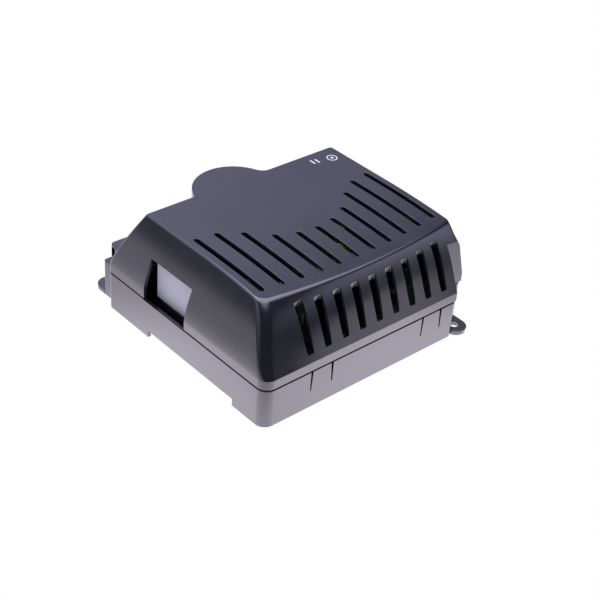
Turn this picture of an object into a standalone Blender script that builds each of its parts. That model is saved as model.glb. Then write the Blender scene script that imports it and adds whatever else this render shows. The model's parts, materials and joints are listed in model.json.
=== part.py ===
"""Variable frequency drive in a two-piece plastic case with a finned heat sink underneath.

Run with: blender --background --python part.py
Lengths below are millimetres, measured from the front left bottom corner of the base: X to the
right along the slotted front, Y to the back, Z up. The helpers turn them into metres, and one
empty moves the whole drive so that its origin is the bottom centre of its bounding box.
"""
import math

import bmesh
import bpy

MM = 0.001
GAP = 0.3

# Case
WIDTH = 168.5
BODY_DEPTH = 147.0
BASE_DEPTH = 160.0
HEIGHT = 70.5
WALL = 2.4
COVER_WALL = 2.2
BASE_TOP = 25.2
COVER_BOTTOM = 26.0
SKIRT_TOP = 33.5
FLOOR_UNDER = 5.5
FLOOR_TOP = 8.0
CORNER_R = 7.0
BACK_STEP_X = 5.0

# Corner notch at the front right, which leaves room for the right ear
NOTCH_X = 150.0
NOTCH_Y = 13.4

# Lean of the cover's walls between the skirt and the top
LEFT_LEAN = 14.0
LEFT_CURVE = 1.4
RIGHT_LEAN = 8.5
RIGHT_KNEE = 0.77
BACK_LEAN = 18.5
BACK_CURVE = 1.1
FRONT_LEAN = 17.0
FRONT_BOW = 4.7
FRONT_BOW_SPAN = 66.5
FRONT_MIDDLE = 87.5
FRONT_RISE = 34.5
TOP_FLAT_FROM = 75.0
TOP_DROOP = 0.0008
LEVELS = (26.0, 33.5, 38.0, 44.0, 50.0, 56.0, 60.0, 63.5, 66.5, 69.0, 71.5, 75.0)

# Hood over the plugs and round lobe over the choke
HOOD_RIGHT = 163.5
HOOD_BACK = 153.0
HOOD_TOP = 41.0
LOBE_X = 76.5
LOBE_Y = 122.3
LOBE_R = 26.8

# Slots in the top and in the front
TOP_SLOT_COUNT = 11
TOP_SLOT_PITCH = 13.3
TOP_SLOT_MIDDLE = 87.3
TOP_SLOT_WIDTH = 3.0
SLOT_ARC_R = 51.0
SLOT_ARC_Y = 112.0
FRONT_SLOT_COUNT = 9
FRONT_SLOT_PITCH = 13.2
FRONT_SLOT_MIDDLE = 86.8
FRONT_SLOT_WIDTH = 4.7
FRONT_SLOT_LOW = 1.5

# Cable window in the left face
WINDOW_FRONT = 72.3
WINDOW_BACK = 108.0
WINDOW_SLOT_BACK = 111.0
WINDOW_TOP = 51.7
RECESS_X = 7.5

# Screw ears: centre and radius of each, and the centres of their holes
EAR_THICK = 3.0
EAR_RIGHT = (157.6, 4.0, 7.2)
EAR_LEFT = (12.2, 164.6, 7.2)
EAR_HOLE_R = 2.9
EAR_HOLES = ((157.6, 4.9), (12.2, 164.6))

# Snap tabs in the front wall: the left and right edge of each
TABS = {"snap_tab_left": (34.5, 49.8), "snap_tab_right": (122.0, 137.2)}
TAB_ROOT = 12.0
SLIT = 1.0

# Heat sink, boards and plugs
SINK_X = (44.0, 136.0)
SINK_Y = (47.0, 123.0)
FIN_Y = (54.0, 116.0)
SINK_TOP = 12.0
FIN_TIP = 0.8
FIN_COUNT = 12
FIN_THICK = 1.6
SINK_SCREWS = ((52.0, 50.5), (128.0, 50.5), (52.0, 119.5), (128.0, 119.5))
BOARD_X = (10.5, 160.0)
BOARD_Y = (17.0, 146.0)
BOARD_UNDER = 17.0
BOARD_TOP = 18.6
ON_BOARD = BOARD_TOP + GAP
BOARD_SCREWS = ((15.5, 22.0), (154.5, 22.0), (44.0, 138.0), (134.5, 138.0))
PLUG_ROWS = {
    "mains": (12.0, 36.0, 3),
    "motor": (106.0, 130.0, 3),
    "control": (139.0, 156.6, 5),
}
HEADER_Y = (130.0, 142.0)
PLUG_Y = (142.4, 158.4)
PLUG_Z = (19.2, 33.4)
COVER_SCREWS = ((44.0, 148.0), (134.5, 148.0))

BASE_CORNERS = (
    (0.0, 0.0, CORNER_R),
    (NOTCH_X, 0.0, 2.0),
    (NOTCH_X, NOTCH_Y, 0.6),
    (WIDTH, NOTCH_Y, 3.0),
    (WIDTH, BASE_DEPTH, 5.0),
    (BACK_STEP_X, BASE_DEPTH, 2.0),
    (BACK_STEP_X, BODY_DEPTH, 0.6),
    (0.0, BODY_DEPTH, 2.6),
)
COVER_CORNERS = (
    (0.0, 0.0, CORNER_R),
    (NOTCH_X, 0.0, 2.0),
    (NOTCH_X, NOTCH_Y, 0.6),
    (WIDTH, NOTCH_Y, 3.0),
    (WIDTH, BODY_DEPTH, 3.0),
    (HOOD_RIGHT, BODY_DEPTH, 0.6),
    (HOOD_RIGHT, HOOD_BACK, 3.0),
    (BACK_STEP_X, HOOD_BACK, 3.0),
    (BACK_STEP_X, BODY_DEPTH, 0.6),
    (0.0, BODY_DEPTH, 2.6),
)


def clear_scene():
    """Remove every object that the file starts with."""
    for old in list(bpy.data.objects):
        bpy.data.objects.remove(old, do_unlink=True)


def paint(name, colour, roughness, metallic=0.0):
    """A plain Principled BSDF material."""
    material = bpy.data.materials.new(name)
    material.use_nodes = True
    shader = material.node_tree.nodes["Principled BSDF"]
    shader.inputs["Base Color"].default_value = (*colour, 1.0)
    shader.inputs["Roughness"].default_value = roughness
    shader.inputs["Metallic"].default_value = metallic
    material.diffuse_color = (*colour, 1.0)
    return material


# ---- shapes: each is a pair (points, faces) in millimetres ----

def block(x, y, z):
    """A box from three (low, high) pairs."""
    points = [(a, b, c) for c in z for b in y for a in x]
    faces = [(0, 2, 3, 1), (4, 5, 7, 6), (0, 1, 5, 4), (2, 6, 7, 3), (0, 4, 6, 2), (1, 3, 7, 5)]
    return points, faces


def prism(outline, low, high, axis="Z"):
    """An outline carried from low to high along an axis; X takes (y, z) pairs, Y takes (x, z)."""
    def place(pair, height):
        u, v = pair
        return {"Z": (u, v, height), "X": (height, u, v), "Y": (u, height, v)}[axis]

    count = len(outline)
    points = [place(pair, low) for pair in outline] + [place(pair, high) for pair in outline]
    faces = [tuple(reversed(range(count))), tuple(range(count, 2 * count))]
    for i in range(count):
        j = (i + 1) % count
        faces.append((i, j, count + j, count + i))
    return points, faces


def circle(centre_u, centre_v, radius, count=20):
    """Points round a circle."""
    turns = [2 * math.pi * (i + 0.5) / count for i in range(count)]
    return [(centre_u + radius * math.cos(a), centre_v + radius * math.sin(a)) for a in turns]


def rod(centre, radius, low, high, axis="Z", count=20):
    """A round bar."""
    return prism(circle(centre[0], centre[1], radius, count), low, high, axis)


def stadium(x, front, back, width, count=6):
    """A slot outline with round ends, along Y."""
    radius = width / 2
    ends = []
    for middle, start in ((back - radius, 0.0), (front + radius, math.pi)):
        for i in range(count + 1):
            a = start + math.pi * i / count
            ends.append((x + radius * math.cos(a), middle + radius * math.sin(a)))
    return ends


def inset_corners(corners, distance):
    """Move every wall of a square-cornered outline inwards and adapt the corner radii."""
    moved = []
    count = len(corners)
    for i, (x, y, radius) in enumerate(corners):
        last = corners[i - 1]
        following = corners[(i + 1) % count]
        come = (math.copysign(1, x - last[0]) if x != last[0] else 0,
                math.copysign(1, y - last[1]) if y != last[1] else 0)
        leave = (math.copysign(1, following[0] - x) if x != following[0] else 0,
                 math.copysign(1, following[1] - y) if y != following[1] else 0)
        outward = come[0] * leave[1] - come[1] * leave[0] > 0
        new_x = x + distance * (-come[1] - leave[1])
        new_y = y + distance * (come[0] + leave[0])
        new_radius = max(radius - distance if outward else radius + distance, 0.3)
        moved.append((new_x, new_y, new_radius))
    return tuple(moved)


def rounded(corners, count=5):
    """Outline points of a square-cornered outline with an arc in each corner."""
    outline = []
    total = len(corners)
    for i, (x, y, radius) in enumerate(corners):
        last = corners[i - 1]
        following = corners[(i + 1) % total]
        come = (math.copysign(1, x - last[0]) if abs(x - last[0]) > abs(y - last[1]) else 0,
                math.copysign(1, y - last[1]) if abs(y - last[1]) > abs(x - last[0]) else 0)
        leave = (math.copysign(1, following[0] - x) if come[0] == 0 else 0,
                 math.copysign(1, following[1] - y) if come[1] == 0 else 0)
        centre = (x + radius * (leave[0] - come[0]), y + radius * (leave[1] - come[1]))
        steps = count if radius > 1.0 else 1
        for j in range(steps + 1):
            a = 0.5 * math.pi * j / steps
            outline.append((centre[0] + radius * (-leave[0] * math.cos(a) + come[0] * math.sin(a)),
                            centre[1] + radius * (-leave[1] * math.cos(a) + come[1] * math.sin(a))))
    return outline


# ---- objects ----

def make(name, shapes, material=None, origin=(0.0, 0.0, 0.0), smooth=False, triangles=False):
    """One object from a list of shapes, with its origin at the given place."""
    work = bmesh.new()
    for points, faces in shapes:
        verts = []
        for point in points:
            verts.append(work.verts.new([(point[k] - origin[k]) * MM for k in range(3)]))
        for face in faces:
            work.faces.new([verts[k] for k in face])
    bmesh.ops.recalc_face_normals(work, faces=work.faces)
    if triangles:
        bmesh.ops.triangulate(work, faces=work.faces)
    mesh = bpy.data.meshes.new(name)
    work.to_mesh(mesh)
    work.free()
    if smooth:
        mesh.shade_smooth()
        mesh.set_sharp_from_angle(angle=math.radians(35))
    thing = bpy.data.objects.new(name, mesh)
    thing.location = [value * MM for value in origin]
    thing.parent = bpy.data.objects["drive_origin"]
    bpy.context.collection.objects.link(thing)
    if material:
        mesh.materials.append(material)
    else:
        thing.hide_render = True
        thing.display_type = "WIRE"
    return thing


def combine(target, tool, operation):
    """A Boolean modifier on target."""
    modifier = target.modifiers.new(tool.name, "BOOLEAN")
    modifier.operation = operation
    modifier.solver = "EXACT"
    modifier.object = tool


def cut(target, name, shapes, triangles=False):
    """Cut shapes away from target."""
    combine(target, make(name, shapes, triangles=triangles), "DIFFERENCE")


def add(target, name, shapes):
    """Join shapes to target."""
    combine(target, make(name, shapes), "UNION")


# ---- case ----

def front_lean(x, z):
    """How far the front face stands back from the skirt at this place."""
    rise = max(z - SKIRT_TOP, 0.0) / FRONT_RISE
    bow = FRONT_LEAN + FRONT_BOW * ((x - FRONT_MIDDLE) / FRONT_BOW_SPAN) ** 2
    return bow * (0.76 * rise + 0.24 * rise ** 5)


def squeeze(x, y, z, inset):
    """Move a point of the footprint to the place that it has in the cover's section at z."""
    rise = max(z - SKIRT_TOP, 0.0) / (HEIGHT - SKIRT_TOP)
    left = LEFT_LEAN * rise ** LEFT_CURVE + inset
    right = WIDTH - RIGHT_LEAN * min(rise / RIGHT_KNEE, 1.0) - inset
    back = BODY_DEPTH - BACK_LEAN * rise ** BACK_CURVE - inset
    new_x = left + (right - left) * x / WIDTH
    front = front_lean(new_x, z) + inset
    return new_x, front + (back - front) * y / BODY_DEPTH, z


def cover_body(inset, low):
    """The cover's leaning body, as rings of the footprint squeezed level by level."""
    front_steps = 12
    corners = ((0.0, 0.0, CORNER_R), (WIDTH, 0.0, 3.0), (WIDTH, BODY_DEPTH, 3.0), (0.0, BODY_DEPTH, 2.6))
    ring = rounded(corners, 4)
    start, end = ring[4], ring[5]
    extra = [(start[0] + (end[0] - start[0]) * i / front_steps, 0.0) for i in range(1, front_steps)]
    ring = ring[:5] + extra + ring[5:]
    levels = (low,) + LEVELS[1:]
    points = [squeeze(x, y, z, inset) for z in levels for x, y in ring]
    count = len(ring)
    faces = [tuple(reversed(range(count))), tuple(range(len(points) - count, len(points)))]
    for level in range(len(levels) - 1):
        for i in range(count):
            j = (i + 1) % count
            a = level * count
            faces.append((a + i, a + j, a + count + j, a + count + i))
    return points, faces


def above_top(lower):
    """Everything above the top face, which is flat at the back and droops to the front."""
    steps = 9
    curve = []
    for i in range(steps + 1):
        y = -10.0 + (TOP_FLAT_FROM + 10.0) * i / steps
        curve.append((y, HEIGHT - TOP_DROOP * (TOP_FLAT_FROM - y) ** 2 - lower))
    outline = curve + [(BASE_DEPTH + 10, HEIGHT - lower), (BASE_DEPTH + 10, 90.0), (-10.0, 90.0)]
    return prism(outline, -10.0, WIDTH + 10.0, "X")


def notch(grow):
    """The front right corner notch, right through the case."""
    return block((NOTCH_X - grow, WIDTH + 9), (-9.0, NOTCH_Y + grow), (-9.0, 90.0))


def lobe(inset, low):
    """The round lobe at the back, with a fillet on its right side."""
    radius = LOBE_R - inset
    back = BODY_DEPTH - BACK_LEAN
    fillet = 8.0 + inset
    corner = LOBE_X + math.sqrt((radius + fillet) ** 2 - (back - inset + fillet - LOBE_Y) ** 2)
    touch = math.atan2(back - inset + fillet - LOBE_Y, corner - LOBE_X)
    outline = []
    for i in range(19):
        a = math.pi - 0.05 + (touch - math.pi + 0.05) * i / 18
        outline.append((LOBE_X + radius * math.cos(a), LOBE_Y + radius * math.sin(a)))
    for i in range(1, 6):
        a = math.pi + touch + (math.pi / 2 - touch) * i / 5
        outline.append((corner + fillet * math.cos(a), back - inset + fillet + fillet * math.sin(a)))
    outline.append((corner, 100.0))
    outline.append((LOBE_X - radius + 1, 100.0))
    return prism(outline, low, 80.0)


def top_slots():
    """The slots along Y in the top face; their back ends leave a round field free."""
    shapes = []
    half = TOP_SLOT_COUNT // 2
    for n in range(-half, half + 1):
        offset = n * TOP_SLOT_PITCH
        x = TOP_SLOT_MIDDLE + offset
        front = FRONT_LEAN + 8.0 + FRONT_BOW * (offset / FRONT_BOW_SPAN) ** 2
        if abs(n) < half - 1:
            back = SLOT_ARC_Y - math.sqrt(SLOT_ARC_R ** 2 - offset ** 2)
        else:
            back = 88.6 + 1.9 * (abs(n) - half + 1)
        shapes.append(prism(stadium(x, front, back, TOP_SLOT_WIDTH), 55.0, 85.0))
    return shapes


def front_slots():
    """The slots in the leaning front, cut straight down as the mould opens."""
    shapes = []
    half = FRONT_SLOT_COUNT // 2
    for n in range(-half, half + 1):
        x = FRONT_SLOT_MIDDLE + n * FRONT_SLOT_PITCH
        high = 62.8 + 1.2 * (n / half) ** 2
        back = front_lean(x, high)
        side = (x - FRONT_SLOT_WIDTH / 2, x + FRONT_SLOT_WIDTH / 2)
        shapes.append(block(side, (FRONT_SLOT_LOW, back), (34.0, 66.0)))
    return shapes


def top_cover(material):
    cover = make("top_cover", [cover_body(0.0, COVER_BOTTOM)], material, triangles=True)
    cut(cover, "notch_cutter", [notch(0.0)])
    hood_outline = rounded(((BACK_STEP_X, 120.0, 0.3), (HOOD_RIGHT, 120.0, 0.3),
                            (HOOD_RIGHT, HOOD_BACK, 3.0), (BACK_STEP_X, HOOD_BACK, 3.0)), 4)
    add(cover, "hood_block", [prism(hood_outline, COVER_BOTTOM, HOOD_TOP)])
    add(cover, "lobe_block", [lobe(0.0, HOOD_TOP - 6.0)])
    cut(cover, "top_cutter", [above_top(0.0)])

    hollow = make("cover_hollow", [cover_body(COVER_WALL, 20.0)], triangles=True)
    cut(hollow, "hollow_notch", [notch(COVER_WALL)])
    inner_hood = rounded(((BACK_STEP_X + COVER_WALL, 118.0, 0.3), (HOOD_RIGHT - COVER_WALL, 118.0, 0.3),
                          (HOOD_RIGHT - COVER_WALL, HOOD_BACK - COVER_WALL, 1.2),
                          (BACK_STEP_X + COVER_WALL, HOOD_BACK - COVER_WALL, 1.2)), 3)
    add(hollow, "hood_hollow", [prism(inner_hood, 20.0, HOOD_TOP - COVER_WALL)])
    add(hollow, "lobe_hollow", [lobe(COVER_WALL, 30.0)])
    cut(hollow, "hollow_top", [above_top(COVER_WALL)])
    recess = block((-5.0, RECESS_X + COVER_WALL), (WINDOW_FRONT - COVER_WALL, WINDOW_BACK),
                   (10.0, WINDOW_TOP + COVER_WALL))
    pillars = [rod(place, 3.6, 10.0, HOOD_TOP + 5.0) for place in COVER_SCREWS]
    cut(hollow, "kept_material", [recess] + pillars)
    combine(cover, hollow, "DIFFERENCE")

    rebate = rounded(inset_corners(COVER_CORNERS, WALL / 2 - 0.1), 4)
    cut(cover, "rebate_cutter", [prism(rebate, 20.0, 27.8)])
    cut(cover, "top_slot_cutter", top_slots())
    cut(cover, "front_slot_cutter", front_slots())
    cut(cover, "window_cutter", [block((-9.0, RECESS_X + COVER_WALL + 1.0), (WINDOW_FRONT, WINDOW_SLOT_BACK),
                                       (10.0, WINDOW_TOP))])
    cut(cover, "hood_side_cutter", [block((0.0, 9.0), (147.6, 151.2), (30.5, 39.4))])
    plug_bay = block((PLUG_ROWS["mains"][0] - 1.6, PLUG_ROWS["control"][1] + 4.0),
                     (HOOD_BACK - COVER_WALL - 0.4, HOOD_BACK + 3.0), (20.0, PLUG_Z[1] + 1.6))
    cut(cover, "plug_bay_cutter", [plug_bay])
    cut(cover, "cover_screw_cutter", [rod(place, 1.9, 10.0, 50.0) for place in COVER_SCREWS])
    return cover


def ear(centre_x, centre_y, radius, back):
    """A screw ear's outline: half round at its free end and square at the wall."""
    toward = math.copysign(1, centre_y - back)
    outline = []
    for i in range(13):
        a = math.pi * i / 12
        outline.append((centre_x + radius * math.cos(a), centre_y + toward * radius * math.sin(a)))
    outline.append((centre_x - radius, back))
    outline.append((centre_x + radius, back))
    return prism(outline, 0.0, EAR_THICK)


def base_tray(material):
    base = make("base_tray", [prism(rounded(BASE_CORNERS), 0.0, BASE_TOP)], material)
    inner = rounded(inset_corners(BASE_CORNERS, WALL))
    cut(base, "tray_hollow", [prism(inner, FLOOR_TOP, 40.0)])
    cut(base, "tray_underside", [prism(inner, -5.0, FLOOR_UNDER)])
    deck = rounded(((2.0 + BACK_STEP_X, 150.4, 0.3), (WIDTH - 1.5, 150.4, 0.3),
                    (WIDTH - 1.5, BASE_DEPTH - 1.0, 3.0), (2.0 + BACK_STEP_X, BASE_DEPTH - 1.0, 0.8)), 3)
    add(base, "deck", [prism(deck, BASE_TOP - WALL, BASE_TOP)])
    lip = make("lip", [prism(rounded(inset_corners(COVER_CORNERS, 1.4), 4), 22.0, 27.2)])
    cut(lip, "lip_hollow", [prism(rounded(inset_corners(COVER_CORNERS, WALL), 4), 20.0, 30.0)])
    combine(base, lip, "UNION")
    ears = [ear(*EAR_RIGHT, NOTCH_Y + 1.0), ear(*EAR_LEFT, BASE_DEPTH - 1.0)]
    add(base, "ears", ears)
    bosses = [rod(place, 3.5, FLOOR_TOP - 1.0, BOARD_UNDER - GAP) for place in BOARD_SCREWS]
    add(base, "board_bosses", bosses)
    add(base, "channel_wall", [block((8.2, 9.9), (WINDOW_FRONT - 1.5, WINDOW_SLOT_BACK + 1.0),
                                     (FLOOR_TOP - 1.0, BASE_TOP - 0.4))])
    add(base, "cover_screw_bosses", [rod(place, 3.5, FLOOR_TOP - 1.0, BASE_TOP) for place in COVER_SCREWS])
    add(base, "sink_bosses", [rod(place, 3.5, 2.0, FLOOR_TOP - 0.5) for place in SINK_SCREWS])

    holes = [rod(place, EAR_HOLE_R, -5.0, 10.0) for place in EAR_HOLES]
    holes += [rod(place, 1.7, 9.5, 30.0, count=12) for place in BOARD_SCREWS + COVER_SCREWS]
    holes += [rod(place, 1.9, -5.0, 12.0, count=12) for place in SINK_SCREWS]
    cut(base, "screw_holes", holes)
    sides = [block((-5.0, WALL + 2), (27.0, 107.0), (-5.0, 5.0)),
             block((WIDTH - WALL - 2, WIDTH + 5), (45.0, 125.0), (-5.0, 5.0))]
    cut(base, "air_cutouts", sides)
    cut(base, "sink_opening", [block((SINK_X[0] - 0.6, SINK_X[1] + 0.6),
                                     (FIN_Y[0] - 0.6, FIN_Y[1] + 0.6), (0.0, 12.0))])
    tabs = [block((low - SLIT / 2, high + SLIT / 2), (-5.0, 4.0), (TAB_ROOT, 40.0))
            for low, high in TABS.values()]
    cut(base, "tab_openings", tabs)
    cut(base, "window_lip_cutter", [block((-5.0, 6.0), (WINDOW_FRONT - 0.5, WINDOW_SLOT_BACK + 0.5),
                                          (BASE_TOP, 40.0))])
    rear = [block((low - 1.0, high + 1.0), (149.0, 170.0), (BOARD_TOP, 40.0))
            for low, high, poles in PLUG_ROWS.values()]
    cut(base, "plug_channels", rear)
    return base


def snap_tab(name, low, high, material):
    """A springy tongue of the front wall, hinged at its root, with a catch nose inside."""
    root = TAB_ROOT + GAP
    side = (low + SLIT / 2, high - SLIT / 2)
    middle = (low + high) / 2
    tab = make(name, [block(side, (0.0, WALL), (root, BASE_TOP))], material,
               origin=(middle, WALL / 2, root))
    nose = prism(((WALL - 0.5, 20.4), (WALL + 1.1, 23.4), (WALL + 1.1, 23.9), (WALL - 0.5, 23.9)),
                 middle - 1.4, middle + 1.4, "X")
    add(tab, name + "_nose", [nose])


# ---- cooling and fasteners ----

def heatsink(material):
    """An extruded plate with fins that reach down through the floor."""
    pitch = (FIN_Y[1] - FIN_Y[0] - FIN_THICK) / (FIN_COUNT - 1)
    under = FLOOR_TOP + GAP
    outline = [(SINK_Y[0], under)]
    for i in range(FIN_COUNT):
        y = FIN_Y[0] + pitch * i
        outline += [(y, under), (y, FIN_TIP), (y + FIN_THICK, FIN_TIP), (y + FIN_THICK, under)]
    outline += [(SINK_Y[1], under), (SINK_Y[1], SINK_TOP), (SINK_Y[0], SINK_TOP)]
    sink = make("heatsink", [prism(outline, SINK_X[0], SINK_X[1], "X")], material)
    cut(sink, "sink_screw_holes", [rod(place, 1.9, 5.0, 15.0, count=12) for place in SINK_SCREWS])


def screw(name, place, seat, tip, material, radius=1.25, head=2.8, height=2.0):
    """A pan-head screw with a cross recess; its head rests just above seat."""
    under = seat + GAP
    origin = (place[0], place[1], under)
    body = make(name, [rod(place, radius, tip, under + 0.5, count=12)], material, origin, True)
    add(body, name + "_head", [rod(place, head, under, under + height, count=16)])
    arms = []
    for low, high in ((-1.6, 1.6), (-0.3, 0.3)):
        x = (place[0] + low, place[0] + high)
        y = (place[1] - 1.9 + high, place[1] + 1.9 - high)
        arms.append(block(x, y, (under + height - 0.9, under + height + 1.0)))
    cut(body, name + "_slot", arms[:1])
    cut(body, name + "_cross", arms[1:])


def tube_arc(centre, ring_r, tube_r, start, end, steps, sides):
    """A piece of a ring: a boxy round tube carried along an arc about a vertical axis."""
    points = []
    for i in range(steps + 1):
        a = math.radians(start + (end - start) * i / steps)
        for j in range(sides):
            b = 2 * math.pi * j / sides
            out = math.copysign(abs(math.cos(b)) ** 0.55, math.cos(b))
            up = math.copysign(abs(math.sin(b)) ** 0.55, math.sin(b))
            reach = ring_r + tube_r[0] * out
            points.append((centre[0] + reach * math.cos(a), centre[1] + reach * math.sin(a),
                           centre[2] + tube_r[1] * up))
    faces = [tuple(range(sides)), tuple(reversed(range(steps * sides, (steps + 1) * sides)))]
    for i in range(steps):
        for j in range(sides):
            k = (j + 1) % sides
            faces.append((i * sides + j, (i + 1) * sides + j, (i + 1) * sides + k, i * sides + k))
    return points, faces


def ring_core(centre, inner, outer, low, high, count=32):
    """Outline walls of a flat ring about a vertical axis."""
    points = []
    for radius, z in ((inner, low), (outer, low), (outer, high), (inner, high)):
        for u, v in circle(centre[0], centre[1], radius, count):
            points.append((u, v, z))
    faces = []
    for band in range(4):
        after = (band + 1) % 4
        for i in range(count):
            j = (i + 1) % count
            faces.append((band * count + i, band * count + j, after * count + j, after * count + i))
    return points, faces


def wound_ring(name, core_shape, coils, core_material, wire_material, centre, tube, ring_r):
    """A ring core with coils wound on arcs of it; each coil is a sleeve with the core inside."""
    make(name + "_core", [core_shape], core_material, centre, smooth=True)
    for label, start, end in coils:
        outer = tube_arc(centre, ring_r, tube, start, end, 12, 8)
        inner_tube = (tube[0] - 2.0, tube[1] - 2.0)
        inner = tube_arc(centre, ring_r, inner_tube, start - 4, end + 4, 12, 8)
        coil = make(name + label, [outer], wire_material, centre, smooth=True)
        cut(coil, name + label + "_bore", [inner])


# ---- boards and what stands on them ----

def boards(green, black):
    board = make("main_board", [block(BOARD_X, BOARD_Y, (BOARD_UNDER, BOARD_TOP))], green)
    cut(board, "board_holes", [rod(place, 1.7, 10.0, 30.0, count=12) for place in BOARD_SCREWS])
    cut(board, "board_notches", [rod(place, 4.2, 10.0, 30.0, count=16) for place in COVER_SCREWS])
    socket = block((135.0, 140.0), (42.0, 92.0), (ON_BOARD, 24.0))
    socket_slot = block((136.7, 138.9), (30.0, 110.0), (21.0, 30.0))
    header = make("control_board_socket", [socket], black)
    cut(header, "socket_slot", [socket_slot])
    make("control_board", [block((137.0, 138.6), (44.0, 90.0), (21.3, 52.0))], green)
    make("processor_chip", [block((138.9, 140.3), (60.0, 74.0), (32.0, 46.0))], black)


def plugs(grey, green):
    """Each row of terminals is a header on the board and a plug that pulls out to the back."""
    for name, (low, high, poles) in PLUG_ROWS.items():
        header = make(name + "_header", [block((low, high), HEADER_Y, (ON_BOARD, PLUG_Z[1] - 1.5))], grey)
        pocket = block((low + 1.2, high - 1.2), (HEADER_Y[0] + 3.0, HEADER_Y[1] + 1.0), (20.4, 30.6))
        cut(header, name + "_pocket", [pocket])
        middle = (low + high) / 2
        plug = make(name + "_plug", [block((low, high), PLUG_Y, PLUG_Z)], green,
                    origin=(middle, PLUG_Y[1], PLUG_Z[0]))
        tongue = block((low + 1.8, high - 1.8), (HEADER_Y[0] + 4.0, PLUG_Y[0] + 1.0), (21.0, 30.0))
        add(plug, name + "_tongue", [tongue])
        pitch = (high - low) / poles
        entries = []
        drives = []
        for i in range(poles):
            x = low + pitch * (i + 0.5)
            half = pitch * 0.24
            entries.append(block((x - half, x + half), (PLUG_Y[1] - 8.0, PLUG_Y[1] + 1.0), (21.0, 26.5)))
            drives.append(rod((x, 149.0), half, PLUG_Z[1] - 3.0, PLUG_Z[1] + 1.0, count=10))
        cut(plug, name + "_entries", entries)
        cut(plug, name + "_drives", drives)


def capacitors(can, sleeve, yellow, blue):
    for i, x in enumerate((52.5, 80.5, 108.5)):
        name = "bulk_capacitor_" + str(i + 1)
        body = make(name, [rod((x, 37.0), 12.5, ON_BOARD, 54.0, count=24)], sleeve,
                    (x, 37.0, ON_BOARD), smooth=True)
        cut(body, name + "_top", [rod((x, 37.0), 11.0, 53.4, 60.0, count=24)])
    for i, y in enumerate((87.0, 103.0)):
        name = "x2_capacitor_" + str(i + 1)
        make(name, [block((14.0, 40.5), (y, y + 11.5), (ON_BOARD, 41.0))], yellow,
             (27.25, y + 5.75, ON_BOARD))
    make("film_capacitor", [block((83.5, 96.5), (54.0, 82.0), (ON_BOARD, 43.0))], blue,
         (90.0, 68.0, ON_BOARD))


def disc_part(name, x, y, radius, thick, material):
    """A disc on two wire legs, standing across the board."""
    middle = ON_BOARD + 3.0 + radius
    body = make(name, [rod((x, middle), radius, y - thick / 2, y + thick / 2, "Y")], material,
                (x, y, ON_BOARD), smooth=True)
    legs = [block((x + side - 0.4, x + side + 0.4), (y - 0.4, y + 0.4), (ON_BOARD, middle - 2.0))
            for side in (-3.7, 3.7)]
    add(body, name + "_legs", legs)


def fuse(metal, glass):
    for i, x in enumerate((17.0, 33.0)):
        name = "fuse_clip_" + str(i + 1)
        clip = make(name, [block((x, x + 5.0), (34.6, 41.4), (ON_BOARD, 27.5))], metal,
                    (x + 2.5, 38.0, ON_BOARD))
        cut(clip, name + "_gap", [block((x - 1, x + 6.0), (35.1, 40.9), (20.0, 30.0))])
    make("mains_fuse", [rod((38.0, 23.5), 2.6, 17.5, 37.5, "X", count=16)], glass,
         (27.5, 38.0, 23.5), smooth=True)


def transformer(ferrite, yellow):
    """A ferrite core round a taped coil; the coil sits in the core's two windows."""
    core = make("transformer_core", [block((100.0, 128.0), (70.0, 82.0), (ON_BOARD + 1, 50.0))], ferrite,
                (114.0, 76.0, ON_BOARD))
    windows = [block((105.0, 110.0), (60.0, 90.0), (25.0, 45.0)),
               block((118.0, 123.0), (60.0, 90.0), (25.0, 45.0))]
    cut(core, "core_windows", windows)
    coil = make("transformer_coil", [block((105.3, 122.7), (64.0, 88.0), (25.3, 44.7))], yellow,
                (114.0, 76.0, 25.3))
    cut(coil, "coil_bore", [block((109.7, 118.3), (69.7, 82.3), (20.0, 50.0))])


def window_panel(grey):
    """The panel that closes the back of the cable window."""
    make("window_panel", [block((RECESS_X, RECESS_X + COVER_WALL), (WINDOW_FRONT + GAP, WINDOW_BACK),
                                (COVER_BOTTOM + GAP, WINDOW_TOP - GAP))], grey)


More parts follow.
